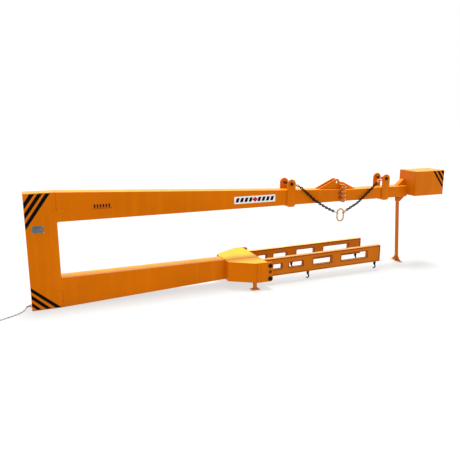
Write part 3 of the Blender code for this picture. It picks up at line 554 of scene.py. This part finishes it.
def rope_whipping(line):
    """Eight turns of twine that bind the eye to the standing part."""
    turns, steps, last = 8, 16, len(line) - 1
    wraps = []
    for k in range(turns * steps + 1):
        s = k / (turns * steps) * last
        i = min(int(s), last - 1)
        along = (line[i + 1] - line[i]).normalized()
        side = along.orthogonal().normalized()
        a = math.tau * k / steps
        around = side * math.cos(a) + along.cross(side) * math.sin(a)
        wraps.append(line[i].lerp(line[i + 1], s - i) + around * 0.0104)
    twine = sweep(bmesh.new(), wraps, 0.0015, 6)
    return piece("tag_line_whipping", twine, [ROPE_DARK], "frame")


def stopper_knot(path):
    """A trefoil knot at the rope's free end, on top of the coil."""
    along = (path[-1] - path[-3]).normalized()
    centre = path[-1] + along * 0.03 + Vector((0, 0, 0.006))
    line = []
    for k in range(72):
        t = math.tau * k / 72
        x, y = math.sin(t) + 2 * math.sin(2 * t), math.cos(t) - 2 * math.cos(2 * t)
        line.append(centre + Vector((x, y, -math.sin(3 * t))) * 0.0085)
    bm = sweep(bmesh.new(), line, ROPE_R * 0.96, 10, closed=True)
    return piece("tag_line_knot", bm, [ROPE_LIGHT], "frame", (), 60)


def coil_ties():
    """Three ties round the coil, of three turns of cord each, shaped to the coil's flat section."""
    bm = bmesh.new()
    for turn in (0.14, 0.36, 0.8):
        angle = math.pi / 2 + math.tau * turn
        out = Vector((math.cos(angle), math.sin(angle), 0))
        side = Vector((-out.y, out.x, 0))
        middle = COIL_CENTRE + out * (COIL_INNER + COIL_OUTER) / 2
        for lane in (-0.0034, 0.0, 0.0034):
            loop = []
            for k in range(28):
                a = math.tau * k / 28
                reach = 0.029 * math.copysign(abs(math.cos(a)) ** 0.55, math.cos(a))
                rise = 0.0185 + 0.0175 * math.copysign(abs(math.sin(a)) ** 0.55, math.sin(a))
                loop.append(middle + out * reach + side * lane + Vector((0, 0, max(rise, 0.0018))))
            sweep(bm, loop, 0.0017, 6, closed=True)
    return piece("tag_line_ties", bm, [ROPE_DARK], "frame")


path = rope_path()
nodes = ("tag_line", "tag_line_coil")
rope = piece("tag_line_rope", laid_rope(path), ROPE_LOOKS, "frame", nodes, 60)
extras = [rope_eye_splice(), rope_whipping(path[1:6]), stopper_knot(path), coil_ties()]


# ---- chain sling
LEFT_ROUTE = (
    (4.389, -0.06, 1.653), (4.442, -0.112, 1.618),
    (4.5, -0.15, 1.572), (4.622, -0.158, 1.466),
    (4.748, -0.16, 1.36), (4.957, -0.162, 1.232),
    (5.063, -0.163, 1.177), (5.156, -0.163, 1.135),
)
RIGHT_ROUTE = (
    (6.151, -0.06, 1.653), (6.09, -0.112, 1.62),
    (6.005, -0.15, 1.57), (5.88, -0.158, 1.468),
    (5.755, -0.16, 1.364), (5.632, -0.161, 1.266),
    (5.506, -0.162, 1.201), (5.394, -0.163, 1.142),
)
CLEVISES = (("left", 4.28), ("right", 6.26))
PITCH = 0.039
LINK_R = 0.0162
LINK_WIRE = 0.0156
LINK_SEAT = 0.0006
MASTER = at(5.275, -0.163, 1.108)
MASTER_CROWN = 0.0665
MASTER_STRAIGHT = 0.0415
MASTER_WIRE = 0.026


def chain(label, joints, painted):
    """A welded chain leg. Its first links, at the clevis, are painted like the coupling there."""
    bm = bmesh.new()
    half = PITCH / 2 - LINK_SEAT + LINK_WIRE / 2 - LINK_R
    for i, (a, b) in enumerate(zip(joints, joints[1:])):
        along = (b - a).normalized()
        side = Vector((0, 1, 0))
        side = (side - along * side.dot(along)).normalized()
        normal = side if i % 2 else along.cross(side)
        middle = (a + b) / 2
        line = oval(middle - along * half, middle + along * half, LINK_R, normal, 9)
        sweep(bm, line, LINK_WIRE / 2, 10, closed=True, material=int(i < painted), up=normal)
    name = "chain_leg_" + label
    piece(name + "_links", bm, [CHAIN_STEEL, COUPLING_PAINT], "sling", (name,), 60)


def coupling(node, near, far, radius, wire, normal, body):
    """A forged coupling: two half links that meet in eyes on a load pin, with a sleeve between them."""
    bm = bmesh.new()
    along = (far - near).normalized()
    across = Vector(normal).cross(along).normalized()
    middle = (near + far) / 2
    line = oval(near, far, radius, normal, 16)
    radii = []
    for point in line:
        away = abs((point - middle).dot(along))
        radii.append(wire / 2 * (1 + 0.42 * max(0.0, 1 - away / (wire * 0.95)) ** 0.6))
    sweep(bm, line, radii, 12, closed=True, up=normal)
    pin = across * (radius + wire * 0.52)
    sweep(bm, [middle - pin, middle + pin], wire * 0.28, 14, material=1)
    sleeve = across * (radius - wire * 0.62)
    ends = [middle + sleeve * share for share in (-1, -0.8, 0.8, 1)]
    sweep(bm, ends, [wire * share for share in (0.4, 0.5, 0.5, 0.4)], 16)
    piece(node + "_forging", bm, [COUPLING_PAINT, ZINC], body, (node,), 50)


for (label, x), route, direction, painted in zip(CLEVISES, (LEFT_ROUTE, RIGHT_ROUTE), (1, -1), (2, 3)):
    joints = curve_points([at(*p) for p in route], PITCH)
    chain(label, joints, painted)
    near, far = at(x + direction * 0.0012, -0.052, 1.6735), at(x + direction * 0.055, -0.052, 1.66)
    coupling("clevis_coupling_" + label, near, far, 0.03, 0.016, (0, 1, 0), "frame")
    last = joints[-1]
    away = (joints[-2] - last).normalized()
    wire_point = MASTER - Vector((direction * MASTER_CROWN, 0, 0))
    towards = (last - wire_point).normalized()
    near, far = wire_point + towards * 0.001, last + away * 0.01 - towards * 0.0235
    normal = towards.cross(Vector((0, 1, 0)))
    coupling("master_coupling_" + label, near, far, 0.025, 0.011, normal, "sling")

centre = MASTER + Vector((0, 0, 0.003 - MASTER_STRAIGHT))
half = Vector((0, 0, MASTER_STRAIGHT))
line = oval(centre - half, centre + half, MASTER_CROWN, (0, 1, 0), 28)
bm = sweep(bmesh.new(), line, MASTER_WIRE / 2, 20, closed=True, up=(0, 1, 0))
piece("master_link_ring", bm, MASTER_PLATING, "master_link", ("master_link",), 60)


# ---- clevises and their pins
PIN_Z = 1.6745
EAR_R = 0.0775
BOOM_UNDERSIDE = 1.3097


def thread(shank, crest, root, start, pitch, turns, tip):
    """Half section of a bolt's threaded end, with its tip's own points."""
    profile = [(shank, 0.0)]
    for k in range(turns):
        low = start + pitch * k
        profile += [(crest, low), (root, low + pitch / 2)]
    return profile + list(tip)


for label, x in CLEVISES:
    # Two ears joined by a saddle under the boom.
    low, shoulder = 1.278, 1.308
    foot = [(x - EAR_R + 0.03, low), (x + EAR_R - 0.03, low), (x + EAR_R, shoulder)]
    ear = foot + arc((x, PIN_Z), EAR_R, 0, 180, 28) + [(x - EAR_R, shoulder)]
    saddle = foot + [(x + EAR_R, BOOM_UNDERSIDE), (x - EAR_R, BOOM_UNDERSIDE), (x - EAR_R, shoulder)]
    inner, outer = HALF + 0.0003, HALF + 0.0223
    bm = bmesh.new()
    for side in (-1, 1):
        slab(bm, shift(ear), "XZ", *sorted((side * inner, side * outer)))
    slab(bm, shift(saddle), "XZ", -inner, inner)
    name = "clevis_" + label
    piece(name + "_plates", bm, BOOM_PAINT, "frame", (name,), 30, 0.0022)

    # Shank, round head on the far side, and washer, nut and threads on the near side.
    bm = bmesh.new()
    reach = 0.1458
    turned(bm, [(0.018, -reach - 0.012), (0.018, reach + 0.002)], "Y", at(x, 0, PIN_Z), 32)
    head = [(0.0285, 0), (0.0285, 0.014), (0.0255, 0.018), (0.014, 0.02), (0, 0.02)]
    turned(bm, [(r, reach + h) for r, h in head], "Y", at(x, 0, PIN_Z), 36)
    washer(bm, "-Y", at(x, -reach + 0.001, PIN_Z), 0.012, 0.03, 0.004)
    nut(bm, "-Y", at(x, -reach - 0.003, PIN_Z), 0.027, 0.016)
    tip = ((0.0112, 0.0345), (0.0095, 0.0355), (0, 0.0355))
    profile = thread(0.0118, 0.0118, 0.0106, 0.019, 0.0022, 7, tip)
    turned(bm, profile, "-Y", at(x, -reach + 0.0015, PIN_Z), 24)
    name = "clevis_pin_" + label
    piece(name + "_bolt", bm, FORGED_STEEL, "frame", (name,), 28)


# ---- splice bolts
SPLICE_BACK, SPLICE_FRONT = 5.2947, 5.3353
SPLICE_BOLT_Y = 0.163
SPLICE_BOLT_Z = (1.345, 1.4183, 1.4916, 1.565)
tip = ((0.009, 0.014), (0.0078, 0.015), (0, 0.015))
profile = thread(0.0098, 0.01, 0.0088, 0.001, 0.0025, 5, tip)
for label, y in (("near", -SPLICE_BOLT_Y), ("far", SPLICE_BOLT_Y)):
    bm = bmesh.new()
    for i, z in enumerate(SPLICE_BOLT_Z):
        spin = 0.4 + 0.7 * i
        washer(bm, "-X", at(SPLICE_BACK, y, z), 0.009, 0.0192, 0.003)
        nut(bm, "-X", at(SPLICE_BACK - 0.003, y, z), 0.0185, 0.013, spin)
        turned(bm, [(0.01, 0), (0.01, 0.062)], "X", at(5.29, y, z), 24)
        washer(bm, "X", at(SPLICE_FRONT, y, z), 0.009, 0.0192, 0.003)
        nut(bm, "X", at(SPLICE_FRONT + 0.003, y, z), 0.0185, 0.016, spin + 0.3)
        turned(bm, profile, "X", at(5.352, y, z), 24)
    name = "splice_bolts_" + label
    piece(name + "_hex", bm, ZINC, "frame", (name,), 28)


# ---- cross shafts, spacers and leg pin
SHAFT_X = 3.705
SHAFT_Z = (("lower", 0.174), ("upper", 0.396))
LEG_HINGE = at(6.7, 0.04, 1.245)

# Two shafts with stepped end caps, each in its spacer tube between the rails.
reach = 0.5305
cap = [(0.036, 0), (0.036, 0.015), (0.0335, 0.019), (0.026, 0.0215)]
cap += [(0.01, 0.0215), (0.009, 0.0185), (0, 0.0185)]
for label, z in SHAFT_Z:
    bm = bmesh.new()
    turned(bm, [(0.02, -reach), (0.02, reach)], "Y", at(SHAFT_X, 0, z), 40)
    for axis, sign in (("Y", 1), ("-Y", -1)):
        turned(bm, cap, axis, at(SHAFT_X, sign * (reach - 0.0005), z), 40)
    name = "cross_shaft_" + label
    piece(name + "_turned", bm, FORGED_STEEL, "frame", (name,), 28)
    name = "spacer_tube_" + label
    low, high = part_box(name)
    length = high.y - low.y
    tube = [(0.027, 0.0), (0.027, length), (0.0215, length)]
    bm = turned(bmesh.new(), tube, "Y", at(SHAFT_X, low.y, z), 40)
    piece(name + "_round", bm, RAIL_PAINT, "frame", (name,), 40)

# A painted bush in each cheek between the shafts, inside a dark ring.
bush = [(0.0122, -0.015), (0.0122, 0.003), (0.0178, 0.003), (0.0178, 0.0)]
ring = [(0.018, 0.0), (0.018, 0.0052), (0.0265, 0.0052), (0.0285, 0.003), (0.0285, 0.0)]
bm = bmesh.new()
for axis, y in (("-Y", -0.5298), ("Y", 0.5298)):
    turned(bm, bush, axis, at(SHAFT_X, y, 0.29), 32, 1)
    turned(bm, ring, axis, at(SHAFT_X, y, 0.29), 32)
piece("cheek_bushings", bm, [FORGED_STEEL, BOOM_PAINT], "frame", (), 28)

bm = bmesh.new()
turned(bm, [(0.01, -0.034), (0.01, 0.034)], "Y", LEG_HINGE, 24)
turned(bm, [(0.016, 0.035), (0.016, 0.0425), (0.0135, 0.045), (0, 0.0455)], "Y", LEG_HINGE, 28)
washer(bm, "-Y", LEG_HINGE + Vector((0, -0.0345, 0)), 0.009, 0.017, 0.0025)
nut(bm, "-Y", LEG_HINGE + Vector((0, -0.037, 0)), 0.0165, 0.01)
piece("leg_hinge_bolt", bm, RAIL_PAINT, "frame", ("leg_hinge_pin",), 28)


# ---- hooks
HOOK_BAR = (
    (0.0, -0.026), (0.006, -0.042),
    (0.016, -0.057), (0.0185, -0.074),
    (0.011, -0.091), (-0.005, -0.101),
    (-0.023, -0.0985), (-0.033, -0.086),
)
HOOK_ENDS = (("inner", 4.56), ("outer", 5.985))
HOOK_PIN_Z = 0.111
FORK_INSIDE, FORK_OUTSIDE = 0.0066, 0.0155
CLIMB = 0.0118
RAIL_SIDES = (("near", -0.301), ("far", 0.301))


def rail_z(level, x):
    """A level of the rail where it meets the shafts, carried out to x along the rail's slight rise."""
    return level + CLIMB * (x - SHAFT_X)


def hook(node, pivot):
    """A fork on a pin, and a bent bar below it that narrows to its point."""
    bm = bmesh.new()
    line = curve_points([pivot + Vector((a, 0, b)) for a, b in HOOK_BAR], 0.003)
    last = len(line) - 1
    radii = [0.0128 - 0.0062 * (i / last) ** 2.4 for i in range(last + 1)]
    radii[-1] *= 0.72
    sweep(bm, line, radii, 12, up=(0, 1, 0), squeeze=0.94)
    cheek = [*arc((0, 0), 0.0185, 0, 180, 12), (-0.0125, -0.036), (0.0125, -0.036)]
    cheek = [(a + pivot.x, b + pivot.z) for a, b in cheek]
    slab(bm, cheek, "XZ", pivot.y - FORK_OUTSIDE, pivot.y - FORK_INSIDE)
    slab(bm, cheek, "XZ", pivot.y + FORK_INSIDE, pivot.y + FORK_OUTSIDE)
    width = (pivot.x - 0.014, pivot.x + 0.014)
    depth = (pivot.y - FORK_OUTSIDE, pivot.y + FORK_OUTSIDE)
    block(bm, width, depth, (pivot.z - 0.036, pivot.z - 0.0222))
    turned(bm, [(0.0065, -0.0175), (0.0065, 0.0175)], "Y", pivot, 16)
    head = [(0.0115, 0.0158), (0.0115, 0.019), (0.0095, 0.0205), (0, 0.0205)]
    turned(bm, head, "Y", pivot, 20)
    turned(bm, [(0.0115, -0.0205), (0.0115, -0.0158)], "Y", pivot, 20)
    piece(node + "_forging", bm, FORGED_STEEL, node, (node,), 34, 0.0009)


shoulders = bmesh.new()
for side, y in RAIL_SIDES:
    for end, x in HOOK_ENDS:
        hook(f"hook_{side}_{end}", at(x, y, rail_z(HOOK_PIN_Z, x)))
        outline = []
        for across, up in ((-0.031, 0.0115), (0.031, 0.0115), (0.043, 0.0276), (-0.043, 0.0276)):
            outline.append((x + across, rail_z(HOOK_PIN_Z + up, x + across)))
        slab(shoulders, shift(outline), "XZ", y - 0.0061, y + 0.0061)
piece("hook_lug_shoulders", shoulders, FORGED_STEEL, "frame", (), 30, 0.001)


# ---- column's rope ring
bm = bmesh.new()
block(bm, (FACE - 0.0063, FACE - 0.0003), (-0.022, 0.022), (0.022, 0.068))
piece("rope_eye_plate", bm, RAIL_PAINT, "frame", (), 30, 0.0015)
bend = oval(at(-0.0055, 0, 0.045), at(-0.02, 0, 0.045), 0.0145, (0, 1, 0), 18)[:19]
ends = [Vector((FACE - 0.004, 0, bend[k].z)) for k in (0, -1)]
bm = sweep(bmesh.new(), [ends[0], *bend, ends[1]], 0.0045, 14, up=(0, 1, 0))
piece("rope_eye_ring", bm, RAIL_PAINT, "frame", ("rope_eye",), 50)


# ---- marks and labels
COLUMN_STRIPES = (
    ((0.094, 1.7465), (0.167, 1.7465), (0.003, 1.524), (0.003, 1.612)),
    ((0.207, 1.7465), (0.274, 1.7465), (0.003, 1.378), (0.003, 1.463)),
    ((0.312, 1.7465), (0.377, 1.7465), (0.003, 1.226), (0.003, 1.312)),
    ((0.003, 0.138), (0.003, 0.076), (0.075, 0.0035), (0.138, 0.0035)),
    ((0.003, 0.254), (0.003, 0.184), (0.202, 0.0035), (0.273, 0.0035)),
    ((0.003, 0.362), (0.003, 0.301), (0.337, 0.0035), (0.416, 0.0035)),
)
BOX_STRIPES = (
    ((7.174, 1.7965), (7.222, 1.7965), (7.4435, 1.51), (7.4435, 1.45)),
    ((7.266, 1.7965), (7.319, 1.7965), (7.4435, 1.64), (7.4435, 1.57)),
    ((7.356, 1.7965), (7.436, 1.7965), (7.4435, 1.775), (7.4435, 1.69)),
)
BOX_NEAR, BOX_FAR = -0.334, 0.12


def strip(bm, outline, side, level, material=0, lift=0.0):
    """A thin film on a face that looks along Y: side is -1 for the near face and 1 for the far one."""
    start = level + side * lift
    levels = sorted((start + side * 0.0001, start + side * SKIN))
    return slab(bm, shift(outline), "XZ", *levels, material)


def rectangle(x0, x1, z0, z1, corner=0.0):
    """An upright rectangle's outline, with round corners if asked."""
    if not corner:
        return [(x0, z0), (x1, z0), (x1, z1), (x0, z1)]
    spots = ((x1 - corner, z1 - corner), (x0 + corner, z1 - corner))
    spots += ((x0 + corner, z0 + corner), (x1 - corner, z0 + corner))
    return [p for k, spot in enumerate(spots) for p in arc(spot, corner, 90 * k, 90 * (k + 1), 5)]


def boom_label(side, sign):
    """A pale panel with generic slanted bars and a red diamond."""
    x0, x1, z0, z1 = 3.226, 3.979, 1.392, 1.512
    middle_z = (z0 + z1) / 2
    bm = strip(bmesh.new(), rectangle(x0, x1, z0, z1, 0.012), sign, sign * HALF)
    for k in range(9):
        centre = x0 + 0.06 + k * (x1 - x0 - 0.12) / 8
        if k == 4:
            width, height = 0.05, 0.046
            mark = [(centre - width, middle_z), (centre, middle_z - height)]
            mark += [(centre + width, middle_z), (centre, middle_z + height)]
        else:
            lean, wide, tall = 0.012, 0.026, 0.036
            mark = [(centre - wide - lean, middle_z - tall), (centre + wide - lean, middle_z - tall)]
            mark += [(centre + wide + lean, middle_z + tall), (centre - wide + lean, middle_z + tall)]
        strip(bm, mark, sign, sign * HALF, 2 if k == 4 else 1, SKIN)
    piece("boom_label_" + side, bm, [WHITE_VINYL, BLACK_VINYL, RED_VINYL], "frame")


for side, sign in (("near", -1), ("far", 1)):
    bm = bmesh.new()
    for outline in COLUMN_STRIPES:
        strip(bm, outline, sign, sign * HALF)
    piece("column_stripes_" + side, bm, BLACK_VINYL, "frame")
    bm = bmesh.new()
    for outline in BOX_STRIPES:
        strip(bm, outline, sign, BOX_NEAR if sign < 0 else BOX_FAR)
    piece("counterweight_stripes_" + side, bm, BLACK_VINYL, "frame")
    boom_label(side, sign)
    bm = bmesh.new()
    for k in range(6):
        left = 0.97 + k * 0.043
        strip(bm, rectangle(left, left + 0.026, 1.484, 1.536), sign, sign * HALF)
    strip(bm, rectangle(0.955, 1.235, 1.468, 1.4745), sign, sign * HALF)
    piece("boom_mark_" + side, bm, MARK_INK, "frame")

# Plain lines, the first one bolder, and a rivet in each corner.
low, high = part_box("nameplate")
left, width = low.x + 0.018, high.x - low.x - 0.036
bm = bmesh.new()
for k, share in enumerate((0.9, 0.62, 0.74, 0.5, 0.82, 0.58)):
    z = high.z - 0.02 - k * 0.013
    tall = 0.005 if k == 0 else 0.0022
    line = rectangle(left, left + share * width, z, z + tall)
    slab(bm, line, "XZ", low.y - 0.0005, low.y + 0.0002)
piece("nameplate_lines", bm, BLACK_VINYL, "frame")
rivet = [(0.0042, -0.0005), (0.004, 0.0008), (0.0026, 0.002), (0, 0.0024)]
bm = bmesh.new()
for x in (low.x + 0.008, high.x - 0.008):
    for z in (low.z + 0.008, high.z - 0.008):
        turned(bm, rivet, "-Y", Vector((x, low.y, z)), 16)
piece("nameplate_rivets", bm, ZINC, "frame")


# ---- weld beads
COLUMN_FRONT = 0.441
YOKE_BACK = 3.0597
BOX_BACK = 6.7795
OUTER_TOP = 1.513
SPLICE_FACES = ((5.2945, 1.52), (5.3355, OUTER_TOP))
STUB = (3.455, 0.47)
RIB_Z = (1.3817, 1.455, 1.5283)
UPPER_DOUBLER = (
    ((0.338, 1.105), 0.03), ((0.425, 1.105), 0.03),
    ((0.432, 1.322), 0.04), ((0.668, 1.322), 0.03),
    ((0.64, 1.425), 0.05), ((0.52, 1.49), 0.1),
    ((0.345, 1.42), 0.14),
)
LOWER_DOUBLER = (
    ((0.335, 0.645), 0.03), ((0.338, 0.3), 0.14),
    ((0.48, 0.262), 0.1), ((0.64, 0.285), 0.05),
    ((0.7, 0.425), 0.03), ((0.43, 0.432), 0.04),
    ((0.41, 0.645), 0.03),
)


def boom_top(x):
    """Level of the boom's top: the inner arm tapers and the outer one is level."""
    return 1.75 - 0.23 * (x - COLUMN_FRONT) / (5.295 - COLUMN_FRONT) if x < 5.3 else OUTER_TOP


def bead(bm, points, radius=0.0055, step=0.005):
    """A rippled fillet along straight runs through points, half sunk in the corner that it fills."""
    line = []
    for a, b in zip(points, points[1:]):
        count = max(1, round((b - a).length / step))
        line += [a.lerp(b, k / count) for k in range(count)]
    line.append(points[-1])
    radii = []
    for k in range(len(line)):
        radii.append(radius * (1 + 0.13 * math.sin(2.4 * k) + 0.06 * math.sin(0.61 * k + 1.3)))
    radii[0] = radii[-1] = radius * 0.45
    return sweep(bm, line, radii, 6, up=(0.3, 0.5, 0.8))


def seam(bm, start, end, radius=0.0055):
    """A straight bead between two places, which are given from the column's outer face."""
    return bead(bm, [at(*start), at(*end)], radius)


def weld_piece(name, bm, look=WELD_PAINT):
    return piece(name, bm, look, "frame", (), 60)


def rounded(corners, steps=6):
    """The outline with each corner replaced by a parabolic arc, as in the CAD source."""
    result, count = [], len(corners)
    for i, (point, radius) in enumerate(corners):
        here = Vector(point)
        before = Vector(corners[i - 1][0]) - here
        after = Vector(corners[(i + 1) % count][0]) - here
        reach = min(radius / math.tan(before.angle(after) / 2), before.length * 0.49, after.length * 0.49)
        start, end = here + before.normalized() * reach, here + after.normalized() * reach
        for k in range(steps + 1):
            t = k / steps
            result.append(start * (1 - t) ** 2 + here * 2 * t * (1 - t) + end * t**2)
    return result


bm = bmesh.new()
for y in (-HALF, HALF):
    seam(bm, (COLUMN_FRONT, y, 1.462), (COLUMN_FRONT, y, 1.748), 0.0035)
    seam(bm, (COLUMN_FRONT, y, 0.002), (COLUMN_FRONT, y, 0.268), 0.0035)
    seam(bm, (0.002, y, 0.01), (0.439, y, 0.01), 0.0022)
    seam(bm, (0.002, y, 1.74), (0.439, y, 1.74), 0.0022)
for x, z, radius in ((0.443, 1.309, 0.0055), (0.443, 0.459, 0.0065), (COLUMN_FRONT, 1.75, 0.003)):
    seam(bm, (x, -HALF, z), (x, HALF, z), radius)
for z in (0.01, 1.74):
    seam(bm, (0.0, -0.12, z), (0.0, 0.12, z), 0.0022)
weld_piece("column_welds", bm)

# Beads round the doublers, in the lighter paint: a painted highlight along them.
bm = bmesh.new()
for corners in (UPPER_DOUBLER, LOWER_DOUBLER):
    for side in (-1, 1):
        loop = [at(p.x, side * (HALF + 0.0012), p.y) for p in rounded(corners)]
        bead(bm, [*loop, loop[0]], 0.0072)
weld_piece("doubler_welds", bm, PAD_WELD_HIGHLIGHT_PAINT)

bm = bmesh.new()
for x, top in SPLICE_FACES:
    for y in (-HALF, HALF):
        seam(bm, (x, y, 1.312), (x, y, top))
    seam(bm, (x, -HALF, 1.31), (x, HALF, 1.31))
    seam(bm, (x, -HALF, top), (x, HALF, top))
for side in (-1, 1):
    for edge in (0.046, 0.064):
        y = side * edge
        seam(bm, (4.856, y, boom_top(4.856)), (5.293, y, 1.5202), 0.0048)
        seam(bm, (5.337, y, 1.5132), (5.615, y, 1.5132), 0.0048)
        seam(bm, (5.2945, y, 1.525), (5.2945, y, 1.61), 0.0045)
        seam(bm, (5.3355, y, 1.518), (5.3355, y, 1.608), 0.0045)
weld_piece("splice_welds", bm)

# Beads at the splice ribs' roots, dark with painted shade where the ribs shade the arm.
bm = bmesh.new()
root = 5.2925
for side in (-1, 1):
    for z in RIB_Z:
        for level in (z - 0.0055, z + 0.0055):
            seam(bm, (root, side * 0.124, level), (root, side * 0.183, level), 0.0062)
            if level < OUTER_TOP:
                seam(bm, (5.235, side * 0.1232, level), (root, side * 0.1232, level), 0.0084)
weld_piece("splice_rib_welds", bm, SHADE_WELD_PAINT)

bm = bmesh.new()
for _, x in CLEVISES:
    for edge in (x - EAR_R, x + EAR_R):
        for y in (-HALF, HALF):
            seam(bm, (edge, y, 1.312), (edge, y, boom_top(edge) - 0.002), 0.005)
        seam(bm, (edge, -HALF, 1.3095), (edge, HALF, 1.3095), 0.0045)
    left, right = x - EAR_R, x + EAR_R
    for y in (0.001 - HALF, HALF - 0.001):
        seam(bm, (left + 0.003, y, boom_top(left)), (right - 0.003, y, boom_top(right)), 0.0045)
weld_piece("clevis_welds", bm)

bm = bmesh.new()
for side in (-1, 1):
    seam(bm, (BOX_BACK, side * 0.12, 1.345), (BOX_BACK, side * 0.12, OUTER_TOP))
    seam(bm, (6.604, side * 0.045, 1.5132), (6.778, side * 0.045, 1.5132), 0.0048)
    seam(bm, (BOX_BACK, side * 0.045, 1.516), (BOX_BACK, side * 0.045, 1.626), 0.0048)
seam(bm, (BOX_BACK, -HALF, 1.5132), (BOX_BACK, HALF - 0.003, 1.5132))
seam(bm, (6.78, -HALF, 1.3425), (6.78, HALF - 0.003, 1.3425))
edge = [(BOX_NEAR, 1.343), (BOX_FAR, 1.343), (BOX_FAR, 1.8), (BOX_NEAR, 1.8), (BOX_NEAR, 1.343)]
bead(bm, [at(7.4368, y, z) for y, z in edge], 0.0026)
weld_piece("counterweight_welds", bm)

bm = bmesh.new()
for side in (-1, 1):
    seam(bm, (YOKE_BACK, side * HALF, 0.126), (YOKE_BACK, side * HALF, 0.456), 0.006)
    for z in (0.4602, 0.125):
        seam(bm, (3.477, side * 0.5152, z), (3.653, side * 0.5152, z), 0.003)
    seam(bm, (3.4748, side * 0.5155, 0.135), (3.4748, side * 0.5155, 0.451), 0.0048)
for z in (0.4585, 0.1225):
    seam(bm, (YOKE_BACK, -HALF, z), (YOKE_BACK, HALF, z), 0.005)
weld_piece("yoke_welds", bm)

bm = bmesh.new()
half = 0.0255
for side in (-1, 1):
    for z in (0.0085, 0.124):
        x, y = STUB[0], side * STUB[1]
        square = rectangle(x - half, x + half, y - half, y + half)
        bead(bm, [at(a, b, z) for a, b in (*square, square[0])], 0.0038)
weld_piece("stub_foot_welds", bm, RAIL_PAINT)

bm = bmesh.new()
for y in (LEG_HINGE.y - 0.0345, LEG_HINGE.y + 0.0345):
    seam(bm, (6.67, y, 1.3093), (6.858, y, 1.3093), 0.0042)
for _, y in RAIL_SIDES:
    for _, x in HOOK_ENDS:
        for lane in (y - 0.005, y + 0.005):
            ends = [(x + reach, lane, rail_z(0.1385, x + reach)) for reach in (-0.031, 0.031)]
            seam(bm, *ends, 0.0028)
weld_piece("bracket_and_lug_welds", bm, RAIL_PAINT)


# ---- rails' edge strips and window welds
WINDOWS = (
    (3.855, 4.036, 0.244, 0.347),
    (4.163, 4.451, 0.244, 0.347),
    (4.642, 5.033, 0.233, 0.369),
    (5.222, 5.798, 0.233, 0.369),
)
RAIL_START, RAIL_END = 3.755, 6.07
LIPS = (
    (RAIL_START, RAIL_END, 0.436, 0.449),
    (RAIL_START, RAIL_END, 0.139, 0.15),
    (6.059, RAIL_END, 0.1501, 0.4359),
)

# Raised strips round each face of a rail, with dark welds inside them and round the windows. Their dark
# paint is painted shade: the shadow under the top strip and the shade at the windows' edges.
for label, y in RAIL_SIDES:
    lips, welds = bmesh.new(), bmesh.new()
    for side in (-1, 1):
        face = y + side * 0.03
        levels = sorted((face - side * 0.001, face + side * 0.008))
        for lip in LIPS:
            outline = [(x, rail_z(z, x)) for x, z in rectangle(*lip)]
            slab(lips, shift(outline), "XZ", *levels)
        for window in WINDOWS:
            loop = [at(x, face, rail_z(z, x)) for x, z in rectangle(*window, 0.018)]
            bead(welds, [*loop, loop[0]], 0.0064)
        for z, radius in ((0.432, 0.0086), (0.1525, 0.0054)):
            ends = [(x, face, rail_z(z, x)) for x in (3.76, RAIL_END - 0.014)]
            seam(welds, *ends, radius)
        ends = [(RAIL_END - 0.0135, face, rail_z(z, RAIL_END)) for z in (0.156, 0.43)]
        seam(welds, *ends, 0.006)
    piece(f"rail_{label}_lips", lips, RAIL_PAINT, "frame", (), 30, 0.002)
    weld_piece(f"rail_{label}_window_welds", welds, SHADE_WELD_PAINT)


# ---- counterweight cover bolts
bm = bmesh.new()
cover = at(7.447, 0, 0).x
places = [(y, z, 9) for y in (-0.3, -0.107, 0.086) for z in (1.377, 1.766)]
places += [(y, 1.5715, 7) for y in (-0.3, 0.086)]
for y, z, turn in places:
    washer(bm, "X", Vector((cover - 0.0004, y, z)), 0.005, 0.0125, 0.002)
    nut(bm, "X", Vector((cover + 0.0016, y, z)), 0.0105, 0.0066, y * turn)
piece("counterweight_cover_bolts", bm, ZINC, "frame", (), 28)


# ---- looks of the CAD nodes that stay
RAIL_NODES = ("rail_near", "rail_far", "leg_bracket", "prop_leg", "prop_leg_foot")
RAIL_NODES += ("stub_foot_near", "stub_foot_far")


def node_look(name):
    if name in RAIL_NODES:
        return RAIL_PAINT
    if name == "ballast_block":
        return CAST_IRON
    if name.startswith("hook_lug"):
        return FORGED_STEEL
    if name == "nameplate":
        return PLATE_METAL
    return YOKE_PAINT if name.startswith("yoke") else BOOM_PAINT


# Gives each CAD node that still shows its material, and rounds and smooths its edges.
for name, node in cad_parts.items():
    if node.hide_render:
        continue
    node.data.materials.clear()
    node.data.materials.append(node_look(name))
    weld = node.modifiers.new("join", "WELD")
    weld.merge_threshold = 0.00005
    rounding = node.modifiers.new("rounding", "BEVEL")
    rounding.width = 0.0016
    rounding.segments = 2
    rounding.limit_method = "ANGLE"
    rounding.angle_limit = math.radians(50)
    rounding.harden_normals = False
    smooth = node.modifiers.new("normals", "WEIGHTED_NORMAL")
    smooth.keep_sharp = False
    smooth.weight = 80


# ---- floor
# A wide pale disc just under the object. Its faint glow keeps the shadows light.
look = Look("studio_floor", Specular_IOR_Level=0.1)
tone = look.mix(look.noise(0.6, 3), (0.135, 0.135, 0.133), (0.143, 0.143, 0.141))
look.set(Base_Color=tone, Roughness=0.85, Emission_Color=(1.0, 1.0, 0.99, 1.0), Emission_Strength=0.66)
bm = bmesh.new()
angles = [math.tau * k / 64 for k in range(64)]
bm.faces.new([bm.verts.new((3.9 + 90 * math.cos(a), 90 * math.sin(a), -0.0006)) for a in angles])
mesh = bpy.data.meshes.new("floor")
bm.to_mesh(mesh)
bm.free()
mesh.materials.append(look.material)
floor = bpy.data.objects.new("floor", mesh)
SCENE.collection.objects.link(floor)
